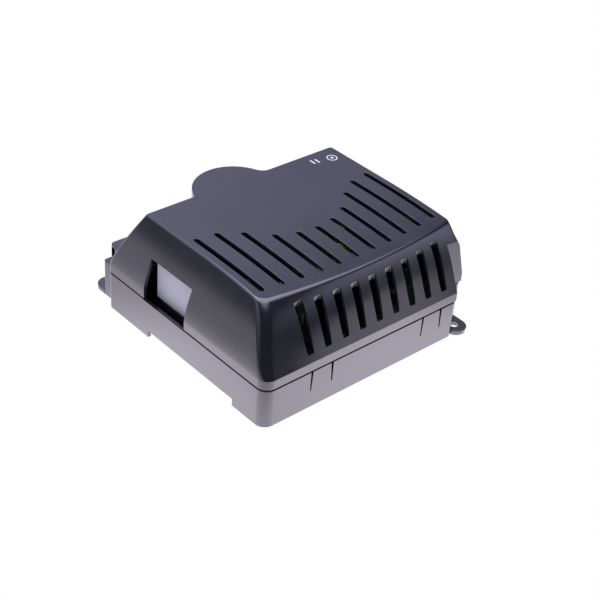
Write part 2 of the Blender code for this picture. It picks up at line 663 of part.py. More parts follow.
def main():
    clear_scene()
    origin = bpy.data.objects.new("drive_origin", None)
    bpy.context.collection.objects.link(origin)
    front = EAR_RIGHT[1] - EAR_RIGHT[2]
    back = EAR_LEFT[1] + EAR_LEFT[2]
    origin.location = (-WIDTH / 2 * MM, -(front + back) / 2 * MM, 0.0)

    case_black = paint("case_black", (0.045, 0.045, 0.055), 0.45)
    case_grey = paint("case_grey", (0.06, 0.06, 0.07), 0.45)
    panel_grey = paint("panel_grey", (0.14, 0.14, 0.155), 0.45)
    aluminium = paint("aluminium", (0.75, 0.76, 0.78), 0.35, 1.0)
    steel = paint("zinc_steel", (0.6, 0.6, 0.62), 0.35, 1.0)
    copper = paint("enamelled_copper", (0.55, 0.2, 0.08), 0.35, 0.8)
    ferrite = paint("ferrite", (0.08, 0.08, 0.085), 0.7)
    board_green = paint("board_green", (0.03, 0.16, 0.07), 0.45)
    tape_yellow = paint("tape_yellow", (0.75, 0.62, 0.08), 0.5)
    part_blue = paint("part_blue", (0.04, 0.12, 0.4), 0.4)
    part_black = paint("part_black", (0.02, 0.02, 0.022), 0.5)
    plug_green = paint("plug_green", (0.05, 0.3, 0.14), 0.45)
    header_grey = paint("header_grey", (0.4, 0.42, 0.42), 0.5)
    pad_grey = paint("pad_grey", (0.45, 0.5, 0.55), 0.8)
    glass = paint("fuse_glass", (0.8, 0.82, 0.8), 0.1)

    base_tray(case_grey)
    top_cover(case_black)
    window_panel(panel_grey)
    for name, (low, high) in TABS.items():
        snap_tab(name, low, high, case_grey)
    for i, place in enumerate(COVER_SCREWS):
        screw("cover_screw_" + str(i + 1), place, HOOD_TOP, 14.0, steel, 1.35, 3.2, 2.2)
    heatsink(aluminium)
    for i, place in enumerate(SINK_SCREWS):
        screw("heatsink_screw_" + str(i + 1), place, SINK_TOP, 3.0, steel)
    make("thermal_pad", [block((68.0, 116.0), (68.0, 99.0), (12.3, 12.9))], pad_grey)
    make("power_module", [block((70.0, 114.0), (70.0, 97.0), (13.2, 16.7))], part_black)
    boards(board_green, part_black)
    for i, place in enumerate(BOARD_SCREWS):
        screw("board_screw_" + str(i + 1), place, BOARD_TOP, 11.0, steel)
    plugs(header_grey, plug_green)
    capacitors(steel, part_black, tape_yellow, part_blue)
    fuse(steel, glass)
    transformer(ferrite, tape_yellow)

    choke = (LOBE_X, LOBE_Y - 0.8, 46.0)
    cup = make("choke_cup", [rod(choke[:2], 23.4, ON_BOARD, 40.0, count=32)], part_black, smooth=True)
    cut(cup, "cup_hollow", [rod(choke[:2], 21.6, 33.0, 45.0, count=32)])
    wound_ring("choke", ring_core((choke[0], choke[1]), 9.5, 17.5, 40.0, 52.0),
               (("_winding", 20.0, 340.0),), ferrite, copper, choke, (7.6, 10.0), 13.5)
    ring = (30.0, 66.0, 29.5)
    wound_ring("filter_choke", ring_core((30.0, 66.0), 7.0, 13.0, 25.5, 33.5),
               (("_winding_1", 20.0, 160.0), ("_winding_2", 200.0, 340.0)), ferrite, copper, ring,
               (6.2, 8.0), 10.0)
    make("inrush_relay", [block((48.0, 76.0), (58.0, 70.5), (ON_BOARD, 34.5))], part_black,
         (62.0, 64.0, ON_BOARD))
    disc_part("varistor", 56.0, 80.0, 7.5, 4.0, part_blue)
    disc_part("thermistor", 56.0, 90.0, 6.5, 4.0, ferrite)
    for i, (x, y) in enumerate(((49.0, 53.5), (27.0, 121.0))):
        disc_part("y_capacitor_" + str(i + 1), x, y, 4.0, 3.0, part_blue)
    make("bridge_rectifier", [block((120.0, 124.6), (90.0, 116.0), (ON_BOARD + 4, 38.0))], part_black)
    add(bpy.data.objects["bridge_rectifier"], "rectifier_legs",
        [block((121.6, 122.4), (y - 0.6, y + 0.6), (ON_BOARD, ON_BOARD + 6)) for y in (93, 99.5, 106, 112.5)])
    make("earth_tab", [block((150.0, 156.3), (118.0, 118.8), (ON_BOARD, 28.0))], steel)
    add(bpy.data.objects["earth_tab"], "earth_foot", [block((150.0, 156.3), (112.0, 118.8),
                                                          (ON_BOARD, ON_BOARD + 0.8))])


main()
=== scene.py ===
import json
import math

import bmesh
import bpy
import numpy as np
from mathutils import Matrix, Vector


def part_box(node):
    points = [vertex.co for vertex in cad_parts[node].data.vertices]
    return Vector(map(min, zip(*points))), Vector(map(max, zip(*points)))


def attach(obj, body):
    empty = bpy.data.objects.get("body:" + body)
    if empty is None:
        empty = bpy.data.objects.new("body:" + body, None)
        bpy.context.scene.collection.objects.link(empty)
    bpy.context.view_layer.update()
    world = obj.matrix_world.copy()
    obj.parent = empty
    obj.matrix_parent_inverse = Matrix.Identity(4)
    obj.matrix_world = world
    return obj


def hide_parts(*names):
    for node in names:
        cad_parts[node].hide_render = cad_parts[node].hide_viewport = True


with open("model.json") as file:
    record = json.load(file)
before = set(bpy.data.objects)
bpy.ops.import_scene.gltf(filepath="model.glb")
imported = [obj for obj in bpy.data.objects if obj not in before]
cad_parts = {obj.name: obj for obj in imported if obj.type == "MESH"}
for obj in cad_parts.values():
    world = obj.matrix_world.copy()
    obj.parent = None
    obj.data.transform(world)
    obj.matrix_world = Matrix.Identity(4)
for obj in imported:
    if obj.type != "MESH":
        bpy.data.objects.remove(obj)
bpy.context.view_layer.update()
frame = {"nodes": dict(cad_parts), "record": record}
print("frame loaded:", len(frame["nodes"]), "nodes")

# Pieces are drawn in millimetres from the front left bottom corner of the case.
coverLow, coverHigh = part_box("top_cover")
cornerX, cornerY = coverLow[0], coverLow[1]
mm = 0.001

case = {
    "width": (coverHigh[0] - coverLow[0]) / mm,
    "bodyDepth": 147.0,
    "baseDepth": 160.0,
    "height": (coverHigh[2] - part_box("base_tray")[0][2]) / mm - 0.05,    # the mark's ink takes the last hair
    "wall": 2.4,
    "coverWall": 2.2,
    "baseTop": 25.2,
    "coverBottom": 26.0,
    "skirtTop": 32.0,
    "floorUnder": 5.5,
    "floorTop": 8.0,
    "cornerRadius": 7.0,
    "backStep": 5.0,
    "notchX": 150.0,
    "notchY": 13.4,
}
lean = {
    "left": 14.0, "leftCurve": 1.4, "right": 8.5, "rightKnee": 0.77, "back": 18.5, "backCurve": 1.1,
    "full": 70.5, "front": 17.0, "frontBow": 4.7, "bowSpan": 66.5, "bowMiddle": 87.5, "frontRise": 36.0,
    "straight": 0.76, "flatFrom": 75.0, "droop": 0.0008, "edgeRadius": 1.3, "middle": (87.0, 88.0),
}


def place(points):
    # Millimetres from the case's corner to metres in the frame.
    return np.asarray(points, float) * mm + np.array([cornerX, cornerY, 0.0])


def nodeBox(name):
    # A CAD node's low and high corner in millimetres from the case's corner.
    shift = np.array([cornerX, cornerY, 0.0])
    return [(np.array(corner) - shift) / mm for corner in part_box(name)]


def ringFaces(rows, count, start):
    # Quads between rings of equal count, closed round, with a flat face at each end.
    row, column = np.meshgrid(np.arange(rows - 1), np.arange(count), indexing="ij")
    nextColumn = (column + 1) % count
    quads = np.stack([row * count + column, row * count + nextColumn,
                      (row + 1) * count + nextColumn, (row + 1) * count + column], -1)
    faces = (quads.reshape(-1, 4) + start).tolist()
    faces.append((np.arange(count)[::-1] + start).tolist())
    faces.append((np.arange(count) + (rows - 1) * count + start).tolist())
    return faces


def joinRings(parts):
    # One set of points and faces from several closed ring shapes, rows x count x 3 each.
    points, faces, start = [], [], 0
    for rings in parts:
        rows, count = rings.shape[:2]
        faces += ringFaces(rows, count, start)
        points.append(rings.reshape(-1, 3))
        start += rows * count
    return np.concatenate(points), faces


def ringPiece(name, parts):
    # A piece made of one or more closed ring shapes.
    points, faces = joinRings([parts] if isinstance(parts, np.ndarray) else parts)
    mesh = bpy.data.meshes.new(name)
    mesh.from_pydata(place(points).tolist(), [], faces)
    mesh.update()
    piece = bpy.data.objects.new(name, mesh)
    bpy.context.collection.objects.link(piece)
    return piece


def applyModifiers(piece):
    # Puts the mesh that the modifiers make in place of the piece's own.
    graph = bpy.context.evaluated_depsgraph_get()
    mesh = bpy.data.meshes.new_from_object(piece.evaluated_get(graph))
    piece.modifiers.clear()
    old = piece.data
    piece.data = mesh
    bpy.data.meshes.remove(old)


def shapeWith(target, tool, operation):
    # Cuts with, or joins, a closed tool mesh, and throws the tool away.
    modifier = target.modifiers.new("shape", "BOOLEAN")
    modifier.operation = operation
    modifier.solver = "EXACT"
    modifier.object = tool
    applyModifiers(target)
    toolMesh = tool.data
    bpy.data.objects.remove(tool)
    bpy.data.meshes.remove(toolMesh)


def cutWith(target, parts):
    # The target less the ring shapes.
    shapeWith(target, ringPiece("tool", parts), "DIFFERENCE")


def joinWith(target, parts):
    # The target and the ring shapes as one body.
    shapeWith(target, ringPiece("tool", parts), "UNION")


def dress(piece, material, angle=30.0):
    # Gives a finished piece its one material and its smooth shading.
    piece.data.materials.clear()
    piece.data.materials.append(material)
    piece.data.polygons.foreach_set("material_index", np.zeros(len(piece.data.polygons), np.int32))
    piece.data.shade_smooth()
    piece.data.set_sharp_from_angle(angle=math.radians(angle))


def dressEvenly(piece, material, angle=14.0):
    # Large faces decide the shading, so that a flat face next to a small rounding stays flat.
    dress(piece, material, angle)
    modifier = piece.modifiers.new("even", "WEIGHTED_NORMAL")
    modifier.keep_sharp = True
    modifier.weight = 90
    applyModifiers(piece)


def outline(corners, inset=0.0, steps=8):
    # A square-cornered outline (x, y, radius), run anticlockwise, moved in by inset, with an arc in
    # each corner: corner centre plus radius times the turn from the wall before to the wall after.
    corner = np.array(corners, float)
    come = np.sign(np.round(corner[:, :2] - np.roll(corner[:, :2], 1, 0), 6))
    leave = np.roll(come, -1, 0)
    outward = come[:, 0] * leave[:, 1] - come[:, 1] * leave[:, 0] > 0
    spot = corner[:, :2] + inset * np.stack([-come[:, 1] - leave[:, 1], come[:, 0] + leave[:, 0]], 1)
    radius = np.maximum(np.where(outward, corner[:, 2] - inset, corner[:, 2] + inset), 0.02)
    centre = spot + radius[:, None] * (leave - come)
    turn = np.linspace(0.0, math.pi / 2, steps + 1)
    arc = (-leave[:, None] * np.cos(turn)[None, :, None] + come[:, None] * np.sin(turn)[None, :, None])
    return (centre[:, None] + radius[:, None, None] * arc).reshape(-1, 2)


def atHeight(flat, height):
    # Outline points at one height, or at a height for each point.
    return np.column_stack([flat, np.broadcast_to(height, len(flat))])


def prism(corners, inset, low, high):
    # An outline, moved in by inset, carried straight up.
    flat = outline(corners, inset)
    return np.stack([atHeight(flat, low), atHeight(flat, high)])


def roundedEdge(radius, low, high, bottom=0.0, steps=7):
    # (inset, height) pairs up a wall: a rounded foot, the wall and a rounded top edge.
    turn = np.linspace(0.0, math.pi / 2, steps + 1)
    pairs = []
    if bottom:
        pairs += [(bottom * (1 - math.sin(a)), low + bottom * (1 - math.cos(a))) for a in turn]
    else:
        pairs.append((0.0, low))
    if radius:
        pairs += [(radius * (1 - math.cos(a)), high - radius * (1 - math.sin(a))) for a in turn]
    else:
        pairs.append((0.0, high))
    return pairs


def slab(corners, low, high, top=0.0, bottom=0.0, steps=8):
    # A plate of the outline's shape, its edges rounded.
    pairs = roundedEdge(top, low, high, bottom)
    return np.stack([atHeight(outline(corners, inset, steps), height) for inset, height in pairs])


def rectangle(x, y, front, back=None):
    # The corners of a rectangle for an outline, with one radius at the front and one at the back.
    back = front if back is None else back
    return (x[0], y[0], front), (x[1], y[0], front), (x[1], y[1], back), (x[0], y[1], back)


def boxRings(x, y, z, radius=0.02, top=0.0, bottom=0.0, steps=1):
    # A box between two values each way, its upright corners and its top and bottom edges rounded.
    return slab(rectangle(x, y, radius), z[0], z[1], top, bottom, steps)


def turned(centre, pairs, count=32, axis="z"):
    # A turned shape: (radius, height) pairs carried round an axis through centre.
    turn = np.arange(count) * 2 * math.pi / count
    rows = []
    for radius, height in pairs:
        u, v = radius * np.cos(turn), radius * np.sin(turn)
        w = np.full(count, height)
        order = {"z": (u, v, w), "x": (w, u, v), "y": (v, w, u)}[axis]
        rows.append(np.stack(order, -1))
    return np.stack(rows) + np.array([*centre, 0.0][:3])


def topHeight(y, drop=0.0):
    # The top face: flat at the back, falling with the square of the way to the front.
    return case["height"] - lean["droop"] * np.maximum(lean["flatFrom"] - y, 0.0) ** 2 - drop


def frontBow(x):
    # The front's full lean: least in the middle, growing with the square of the way to a side.
    return lean["front"] + lean["frontBow"] * ((x - lean["bowMiddle"]) / lean["bowSpan"]) ** 2


def frontLean(x, z):
    # How far the front stands back: a straight lean plus a fifth power that rolls into the top.
    rise = np.maximum(z - case["skirtTop"], 0.0) / lean["frontRise"]
    return frontBow(x) * (lean["straight"] * rise + (1 - lean["straight"]) * rise ** 5)


def frontHeight(x, y):
    # The front's height above a place: frontLean turned round, by Newton's steps.
    straight, roll = lean["straight"], 1 - lean["straight"]
    share = y / frontBow(x)
    rise = share / 0.8
    for _ in range(12):
        rise = rise - (straight * rise + roll * rise ** 5 - share) / (straight + 5 * roll * rise ** 4)
    return case["skirtTop"] + lean["frontRise"] * rise


def squeeze(x, y, z, inset):
    # A footprint point's place in the cover's section at height z, between the four leaning walls.
    rise = np.maximum(z - case["skirtTop"], 0.0) / (lean["full"] - case["skirtTop"])
    left = lean["left"] * rise ** lean["leftCurve"] + inset
    knee = np.minimum(rise / lean["rightKnee"], 1.0)
    right = case["width"] - lean["right"] * knee - inset
    back = case["bodyDepth"] - lean["back"] * rise ** lean["backCurve"] - inset
    newX = left + (right - left) * x / case["width"]
    front = frontLean(newX, z) + inset
    return newX, front + (back - front) * y / case["bodyDepth"]


def coverRings(inset, low, drop, radius):
    # The leaning body as rings: up the walls, over a rounded edge and inwards across the top.
    width, depth, skirt = case["width"], case["bodyDepth"], case["skirtTop"]
    corners = ((0, 0, case["cornerRadius"]), (width, 0, 3.0), (width, depth, 3.0), (0, depth, 2.6))
    plan = outline(corners, 0.0, 9)
    runs = []
    for side, parts in enumerate((44, 26, 30, 26)):
        arc = plan[side * 10:side * 10 + 10]
        following = plan[(side * 10 + 10) % len(plan)]
        share = np.linspace(0, 1, parts + 1)[1:-1, None]
        runs += [arc, arc[-1] + (following - arc[-1]) * share]
    plan = np.concatenate(runs)
    x0, y0 = plan[:, 0], plan[:, 1]

    edge = np.full(len(plan), case["height"])
    for _ in range(30):
        edge = topHeight(squeeze(x0, y0, edge, inset)[1], drop)
    rows = []
    foot = [(0.3, low), (0.09, low + 0.1), (0.0, low + 0.3)] if drop == 0.0 else [(0.0, low)]
    for extra, z in foot + [(0.0, (low + skirt) / 2), (0.0, skirt - 0.4)]:
        level = np.full(len(plan), z)
        rows.append(np.column_stack([*squeeze(x0, y0, level, inset + extra), level]))
    for share in np.linspace(0.0, 1.0, 34):
        z = skirt + (edge - radius - skirt) * share
        rows.append(np.column_stack([*squeeze(x0, y0, z, inset), z]))
    corner = np.column_stack([*squeeze(x0, y0, edge, inset), edge])
    along = np.roll(corner, -1, 0) - np.roll(corner, 1, 0)
    inward = np.column_stack([-along[:, 1], along[:, 0]])
    inward /= np.linalg.norm(inward, axis=1)[:, None]
    landing = corner[:, :2] + radius * inward
    landing = np.column_stack([landing, topHeight(landing[:, 1], drop)])
    start = rows[-1]
    for t in np.linspace(0.0, 1.0, 7)[1:]:
        rows.append((1 - t) ** 2 * start + 2 * t * (1 - t) * corner + t ** 2 * landing)
    middle = np.array(lean["middle"])
    for t in np.linspace(0.0, 0.93, 16)[1:]:
        flat = landing[:, :2] + (middle - landing[:, :2]) * t
        rows.append(np.column_stack([flat, topHeight(flat[:, 1], drop)]))
    return np.stack(rows)


lobe = {"x": 76.5, "y": 122.3, "radius": 26.8, "fillet": 8.0, "front": 104.0}


def lobeOutline(inset):
    # The lobe's plan: a large arc, a hollow fillet on its right and a straight run inside the case.
    radius, fillet = lobe["radius"] - inset, lobe["fillet"] + inset
    wallY = case["bodyDepth"] - lean["back"] - inset
    rise = wallY + fillet - lobe["y"]
    cornerPoint = lobe["x"] + math.sqrt((radius + fillet) ** 2 - rise ** 2)
    touch = math.atan2(rise, cornerPoint - lobe["x"])
    big = np.linspace(touch, math.pi - 0.05, 40)
    small = np.linspace(math.pi * 1.5, math.pi + touch, 10)[:-1]
    hollow = np.column_stack([cornerPoint + fillet * np.cos(small), wallY + fillet + fillet * np.sin(small)])
    arc = np.column_stack([lobe["x"] + radius * np.cos(big), lobe["y"] + radius * np.sin(big)])
    ends = np.array([[lobe["x"] - radius + 1.0, lobe["front"]], [cornerPoint, lobe["front"]]])
    return np.concatenate([hollow, arc, ends])


def lobeRings(inset, low, high, radius):
    # The lobe's plan carried straight up to a rounded top edge.
    pairs = roundedEdge(radius, low, high)
    return np.stack([atHeight(lobeOutline(inset + extra), z) for extra, z in pairs])


topSlots = {"count": 11, "pitch": 13.3, "middle": 87.3, "width": 3.2, "arcRadius": 51.0, "arcY": 112.0,
            "front": 8.0, "outerBack": 88.6, "outerStep": 1.9, "edge": 0.35}
frontSlots = {"count": 9, "pitch": 13.2, "middle": 86.8, "width": 4.5, "taper": 0.5, "low": 2.0,
              "high": 62.8, "arch": 1.2, "foot": 34.0, "corner": 0.16, "edge": 0.4}


def flare(radius, offset):
    # How far a slot's rim widens at a distance below the surface: a quarter circle.
    down = np.clip(radius + offset, 0.0, radius)
    return radius - math.sqrt(radius ** 2 - down ** 2)


def topSlotTools():
    # Stadium-shaped tools across the top, flared where they leave it.
    tools = []
    half = topSlots["count"] // 2
    for n in range(-half, half + 1):
        offset = n * topSlots["pitch"]
        x = topSlots["middle"] + offset
        front = lean["front"] + topSlots["front"] + lean["frontBow"] * (offset / lean["bowSpan"]) ** 2
        if abs(n) < half - 1:
            back = topSlots["arcY"] - math.sqrt(topSlots["arcRadius"] ** 2 - offset ** 2)
        else:
            back = topSlots["outerBack"] + topSlots["outerStep"] * (abs(n) - half + 1)
        rows = []
        for depth in (-14.0, -4.0, -0.35, -0.24, -0.12, -0.04, 0.0, 1.5):
            radius = topSlots["width"] / 2 + flare(topSlots["edge"], depth)
            turn = np.linspace(0, math.pi, 11)
            ends = np.concatenate([np.column_stack([np.cos(turn), np.sin(turn)]),
                                   np.column_stack([-np.cos(turn), -np.sin(turn)])]) * radius
            middle = np.repeat([back - topSlots["width"] / 2, front + topSlots["width"] / 2], 11)
            sides = np.linspace(0, 1, 8)[1:-1]
            flat = ends + np.column_stack([np.full(22, x), middle])
            left = flat[10] + (flat[11] - flat[10]) * sides[:, None]
            right = flat[21] + (flat[0] - flat[21]) * sides[:, None]
            flat = np.concatenate([flat[:11], left, flat[11:], right])
            rows.append(atHeight(flat, topHeight(flat[:, 1]) + depth))
        tools.append(np.stack(rows))
    return tools


def frontSlotTools():
    # Upright tools through the leaning front, a little wider at their upper end.
    tools = []
    half = frontSlots["count"] // 2
    for n in range(-half, half + 1):
        x = frontSlots["middle"] + n * frontSlots["pitch"]
        high = frontSlots["high"] + frontSlots["arch"] * (n / half) ** 2
        back = float(frontLean(x, high))
        low = frontSlots["low"]
        unit = outline(rectangle((-1, 1), (-1, 1), frontSlots["corner"]), 0.0, 5)
        rows = []
        for depth in (None, -0.4, -0.28, -0.14, -0.05, 0.0, 2.5):
            grow = 0.0 if depth is None else flare(frontSlots["edge"], depth)
            wide = frontSlots["width"] / 2 + frontSlots["taper"] * (unit[:, 1] + 1) / 2 + grow
            deep = (back - low) / 2 + grow * 0.5
            flat = np.column_stack([x + unit[:, 0] * wide, (back + low) / 2 + unit[:, 1] * deep])
            height = frontSlots["foot"] if depth is None else frontHeight(flat[:, 0], flat[:, 1]) + depth
            rows.append(atHeight(flat, height))
        tools.append(np.stack(rows))
    return tools


window = {"front": 72.3, "back": 108.0, "slotBack": 111.0, "top": 51.7, "recess": 7.5}
hood = {"right": 163.5, "front": 118.0, "back": 153.0, "top": 41.0, "corner": 3.0,
        "sideSlot": ((0.0, 9.0), (147.6, 151.2), (30.5, 39.4)),
        "plugOpening": ((10.4, 160.6), (150.4, 156.0), (19.7, 35.0))}
lip = {"inset": 1.4, "top": 27.2, "rebate": 1.1, "rebateTop": 27.8}    # the base's lip in the cover's rebate
coverScrews = ((44.0, 148.0), (134.5, 148.0))
boardScrews = ((15.5, 22.0), (154.5, 22.0), (44.0, 138.0), (134.5, 138.0))
sinkScrews = ((52.0, 50.5), (128.0, 50.5), (52.0, 119.5), (128.0, 119.5))
plugRows = {"mains": (12.0, 36.0, 3), "motor": (106.0, 130.0, 3), "control": (139.0, 156.6, 5)}
snapTabs = {"snap_tab_left": (34.5, 49.8), "snap_tab_right": (122.0, 137.2)}
far = 90.0


def caseCorners(*back):
    # The plan's corners: a round front left, the notch at the front right, then the back corners given.
    x, y = case["notchX"], case["notchY"]
    return ((0, 0, case["cornerRadius"]), (x, 0, 2.0), (x, y, 0.6), (case["width"], y, 3.0), *back,
            (0, case["bodyDepth"], 2.6))


def coverCorners():
    # The cover's plan at its foot, with the hood standing out at the back.
    left, right, depth, back = case["backStep"], hood["right"], case["bodyDepth"], hood["back"]
    return caseCorners((case["width"], depth, 3.0), (right, depth, 0.6), (right, back, hood["corner"]),
                       (left, back, hood["corner"]), (left, depth, 0.6))


def makeCover():
    # The leaning shell with its hood and lobe, less the same three moved in by the wall, less its slots.
    wall, step, edge = case["coverWall"], case["backStep"], window["recess"] + case["coverWall"]
    beyond = case["width"] + 9
    cover = ringPiece("coverShell", coverRings(0.0, case["coverBottom"], 0.0, lean["edgeRadius"]))
    cutWith(cover, boxRings((case["notchX"], beyond), (-9, case["notchY"]), (-9, far)))
    corners = rectangle((step, hood["right"]), (hood["front"], hood["back"]), 0.3, hood["corner"])
    joinWith(cover, slab(corners, case["coverBottom"], hood["top"], 0.8, 0.3))
    joinWith(cover, lobeRings(0.0, hood["top"] - 6.0, case["height"] + 0.012, 1.1))

    hollow = ringPiece("hollow", coverRings(wall, 20.0, wall, 0.5))
    cutWith(hollow, boxRings((case["notchX"] - wall, beyond), (-9, case["notchY"] + wall), (-9, far)))
    inner = rectangle((step + wall, hood["right"] - wall), (hood["front"] - 2.0, hood["back"] - wall),
                      0.3, 1.2)
    joinWith(hollow, slab(inner, 19.5, hood["top"] - wall))
    joinWith(hollow, lobeRings(wall, 30.0, case["height"] - wall + 0.01, 0.0))
    solid = [boxRings((-5, edge), (window["front"] - wall, window["back"]), (10, window["top"] + wall))]
    solid += [turned(spot, ((3.6, 10.0), (3.6, 46.0)), 28) for spot in coverScrews]
    cutWith(hollow, solid)
    shapeWith(cover, hollow, "DIFFERENCE")

    cutWith(cover, prism(coverCorners(), lip["rebate"], 20.0, lip["rebateTop"]))
    cutWith(cover, topSlotTools())
    cutWith(cover, frontSlotTools())
    cutWith(cover, boxRings((-9, edge + 1), (window["front"], window["slotBack"]), (10, window["top"])))
    cutWith(cover, boxRings(*hood["sideSlot"]))
    cutWith(cover, boxRings(*hood["plugOpening"]))
    cutWith(cover, [turned(spot, ((1.9, 10.0), (1.9, 50.0)), 24) for spot in coverScrews])
    dressEvenly(cover, finishes["case_cover"])
    return fit(cover, "cover", "case_cover", "top_cover")


ears = {"right": (157.6, 4.0, 7.2, 14.4), "left": (12.2, 164.6, 7.2, 159.0), "thick": 3.0, "hole": 2.9,
        "holes": ((157.6, 4.9), (12.2, 164.6))}
tray = {"airLeft": (27.0, 107.0), "airRight": (45.0, 125.0), "airTop": 5.0,
        "sink": ((43.4, 136.6), (53.4, 116.6)), "deckFront": 150.4, "boss": 3.5, "tabFoot": 12.0,
        "tabSlit": 0.75, "plugSill": 18.6}


def baseCorners():
    # The base's plan, which reaches further back under the plugs.
    step, depth = case["backStep"], case["baseDepth"]
    return caseCorners((case["width"], depth, 5.0), (step, depth, 2.0), (step, case["bodyDepth"], 0.6))


def earRings(x, y, radius, wallY):
    # An ear: half a circle at its free end, square at the wall, its edges rounded.
    turn = np.linspace(0, math.pi, 25) + (math.pi if y < wallY else 0.0)
    rows = []
    for inset, z in roundedEdge(0.5, 0.0, ears["thick"], 0.3):
        arc = np.column_stack([x + (radius - inset) * np.cos(turn), y + (radius - inset) * np.sin(turn)])
        square = np.array([[arc[-1, 0], wallY], [arc[0, 0], wallY]])
        rows.append(atHeight(np.concatenate([arc, square]), z))
    return np.stack(rows)


def makeBase():
    # A solid block less its inside above and below the floor, plus deck, lip, ears and bosses.
    wall, step, width, depth = case["wall"], case["backStep"], case["width"], case["baseDepth"]
    base = ringPiece("baseShell", slab(baseCorners(), 0.0, case["baseTop"], 0.35, 0.6))
    cutWith(base, prism(baseCorners(), wall, case["floorTop"], 40.0))
    cutWith(base, prism(baseCorners(), wall, -5.0, case["floorUnder"]))
    deck = ((step + 2, tray["deckFront"], 0.3), (width - 1.5, tray["deckFront"], 0.3),
            (width - 1.5, depth - 1, 3.0), (step + 2, depth - 1, 0.8))
    joinWith(base, slab(deck, case["baseTop"] - wall, case["baseTop"] - 0.004))
    rim = ringPiece("lip", prism(coverCorners(), lip["inset"], 22.0, lip["top"]))
    cutWith(rim, prism(coverCorners(), wall, 20.0, 30.0))
    shapeWith(base, rim, "UNION")
    for side in ("right", "left"):
        joinWith(base, earRings(*ears[side]))
    boss = tray["boss"]
    joinWith(base, [turned(spot, ((boss, 7.0), (boss, 16.5), (boss - 0.2, 16.7)), 28)
                    for spot in boardScrews])
    joinWith(base, [turned(spot, ((boss, 7.0), (boss, case["baseTop"] - 0.006)), 28) for spot in coverScrews])
    joinWith(base, boxRings((8.2, 9.9), (window["front"] - 1.5, window["slotBack"] + 1.0),
                            (case["floorTop"] - 1.0, case["baseTop"] - 0.4), 0.05, 0.3))
    joinWith(base, [turned(spot, ((boss - 0.2, 2.0), (boss, 2.2), (boss, 7.5)), 28) for spot in sinkScrews])
    hole, thick = ears["hole"], ears["thick"]
    holes = [turned(spot, ((hole, -5), (hole, thick - 0.35), (hole + 0.35, thick), (hole + 0.35, 10)), 32)
             for spot in ears["holes"]]
    holes += [turned(spot, ((1.7, 9.5), (1.7, 30.0)), 20) for spot in boardScrews + coverScrews]
    holes += [turned(spot, ((1.9, -5.0), (1.9, 12.0)), 20) for spot in sinkScrews]
    cutWith(base, holes)
    cutWith(base, boxRings((-5, wall + 2), tray["airLeft"], (-5, tray["airTop"]), 0.02, 0.4))
    cutWith(base, boxRings((width - wall - 2, width + 5), tray["airRight"], (-5, tray["airTop"]), 0.02, 0.4))
    cutWith(base, boxRings(*tray["sink"], (0, 12)))
    slit = tray["tabSlit"]
    cutWith(base, [boxRings((low - slit, high + slit), (-5, 4), (tray["tabFoot"], 40.0))
                   for low, high in snapTabs.values()])
    cutWith(base, boxRings((-5, 6), (window["front"] - 0.5, window["slotBack"] + 0.5),
                           (case["baseTop"] - 0.36, 40)))
    cutWith(base, [boxRings((low - 1, high + 1), (149, 170), (tray["plugSill"], 40))
                   for low, high, poles in plugRows.values()])
    dressEvenly(base, finishes["case_base"])
    return fit(base, "case", "case_base", "base_tray")


def makeTab(name, low, high):
    # A tongue that narrows upwards, so that the slits beside it widen, with a catch nose inside.
    wall, top = case["wall"], case["baseTop"]
    middle = (low + high) / 2
    half = (high - low) / 2
    rows = []
    for z, gap in ((11.95, 0.15), (12.4, 0.6), (19.0, 1.0), (top - 0.3, 1.35), (top - 0.08, 1.4), (top, 1.6)):
        side = half + 0.5 - gap
        tuck = max(0.0, z - (top - 0.3)) * 0.8
        corners = rectangle((middle - side, middle + side), (tuck, wall - tuck), 0.15)
        rows.append(atHeight(outline(corners, 0.0, 3), z))
    tab = ringPiece(name + "_tongue", np.stack(rows))
    nose = []
    for z, reach in ((20.4, 0.05), (23.2, 1.0), (23.7, 1.1), (23.9, 1.0)):
        corners = rectangle((middle - 1.4, middle + 1.4), (wall - 0.5, wall + reach), 0.02)
        nose.append(atHeight(outline(corners, 0.0, 1), z))
    joinWith(tab, np.stack(nose))
    dressEvenly(tab, finishes["case_base"])
    fit(tab, bodyOf[name], "case_base", name)


def addNode(tree, kind, values={}, links={}, **settings):
    # A node of a kind: its settings, the values of its sockets, and what its sockets are linked to.
    node = tree.nodes.new("ShaderNode" + kind)
    for key, value in settings.items():
        setattr(node, key, value)
    for key, value in values.items():
        node.inputs[key].default_value = value
    for key, source in links.items():
        tree.links.new(source, node.inputs[key])
    return node


def newMaterial(name, colour, roughness, metallic=0.0):
    # A material with one Principled shader, and its node tree.
    material = bpy.data.materials.new(name)
    material.use_nodes = True
    shader = material.node_tree.nodes["Principled BSDF"]
    shader.inputs["Base Color"].default_value = (*colour, 1.0)
    shader.inputs["Roughness"].default_value = roughness
    shader.inputs["Metallic"].default_value = metallic
    return material, material.node_tree, shader


def pattern(tree, kind, output, values, stretch=None, **settings):
    # A texture in Object coordinates, its scale in features per metre, drawn out where stretch is small.
    spot = addNode(tree, "TexCoord").outputs["Object"]
    if stretch:
        spot = addNode(tree, "Mapping", {"Scale": stretch}, {"Vector": spot}).outputs["Vector"]
    return addNode(tree, "Tex" + kind, values, {"Vector": spot}, **settings).outputs[output]


def noise(tree, scale, detail=2.0, stretch=None):
    # A cloudy grey pattern.
    return pattern(tree, "Noise", "Fac", {"Scale": scale, "Detail": detail}, stretch)


def spread(tree, source, low, high, start=0.3, end=0.7):
    # Maps a grey value from start and end to low and high.
    values = {"From Min": start, "From Max": end, "To Min": low, "To Max": high}
    return addNode(tree, "MapRange", values, {"Value": source}).outputs["Result"]


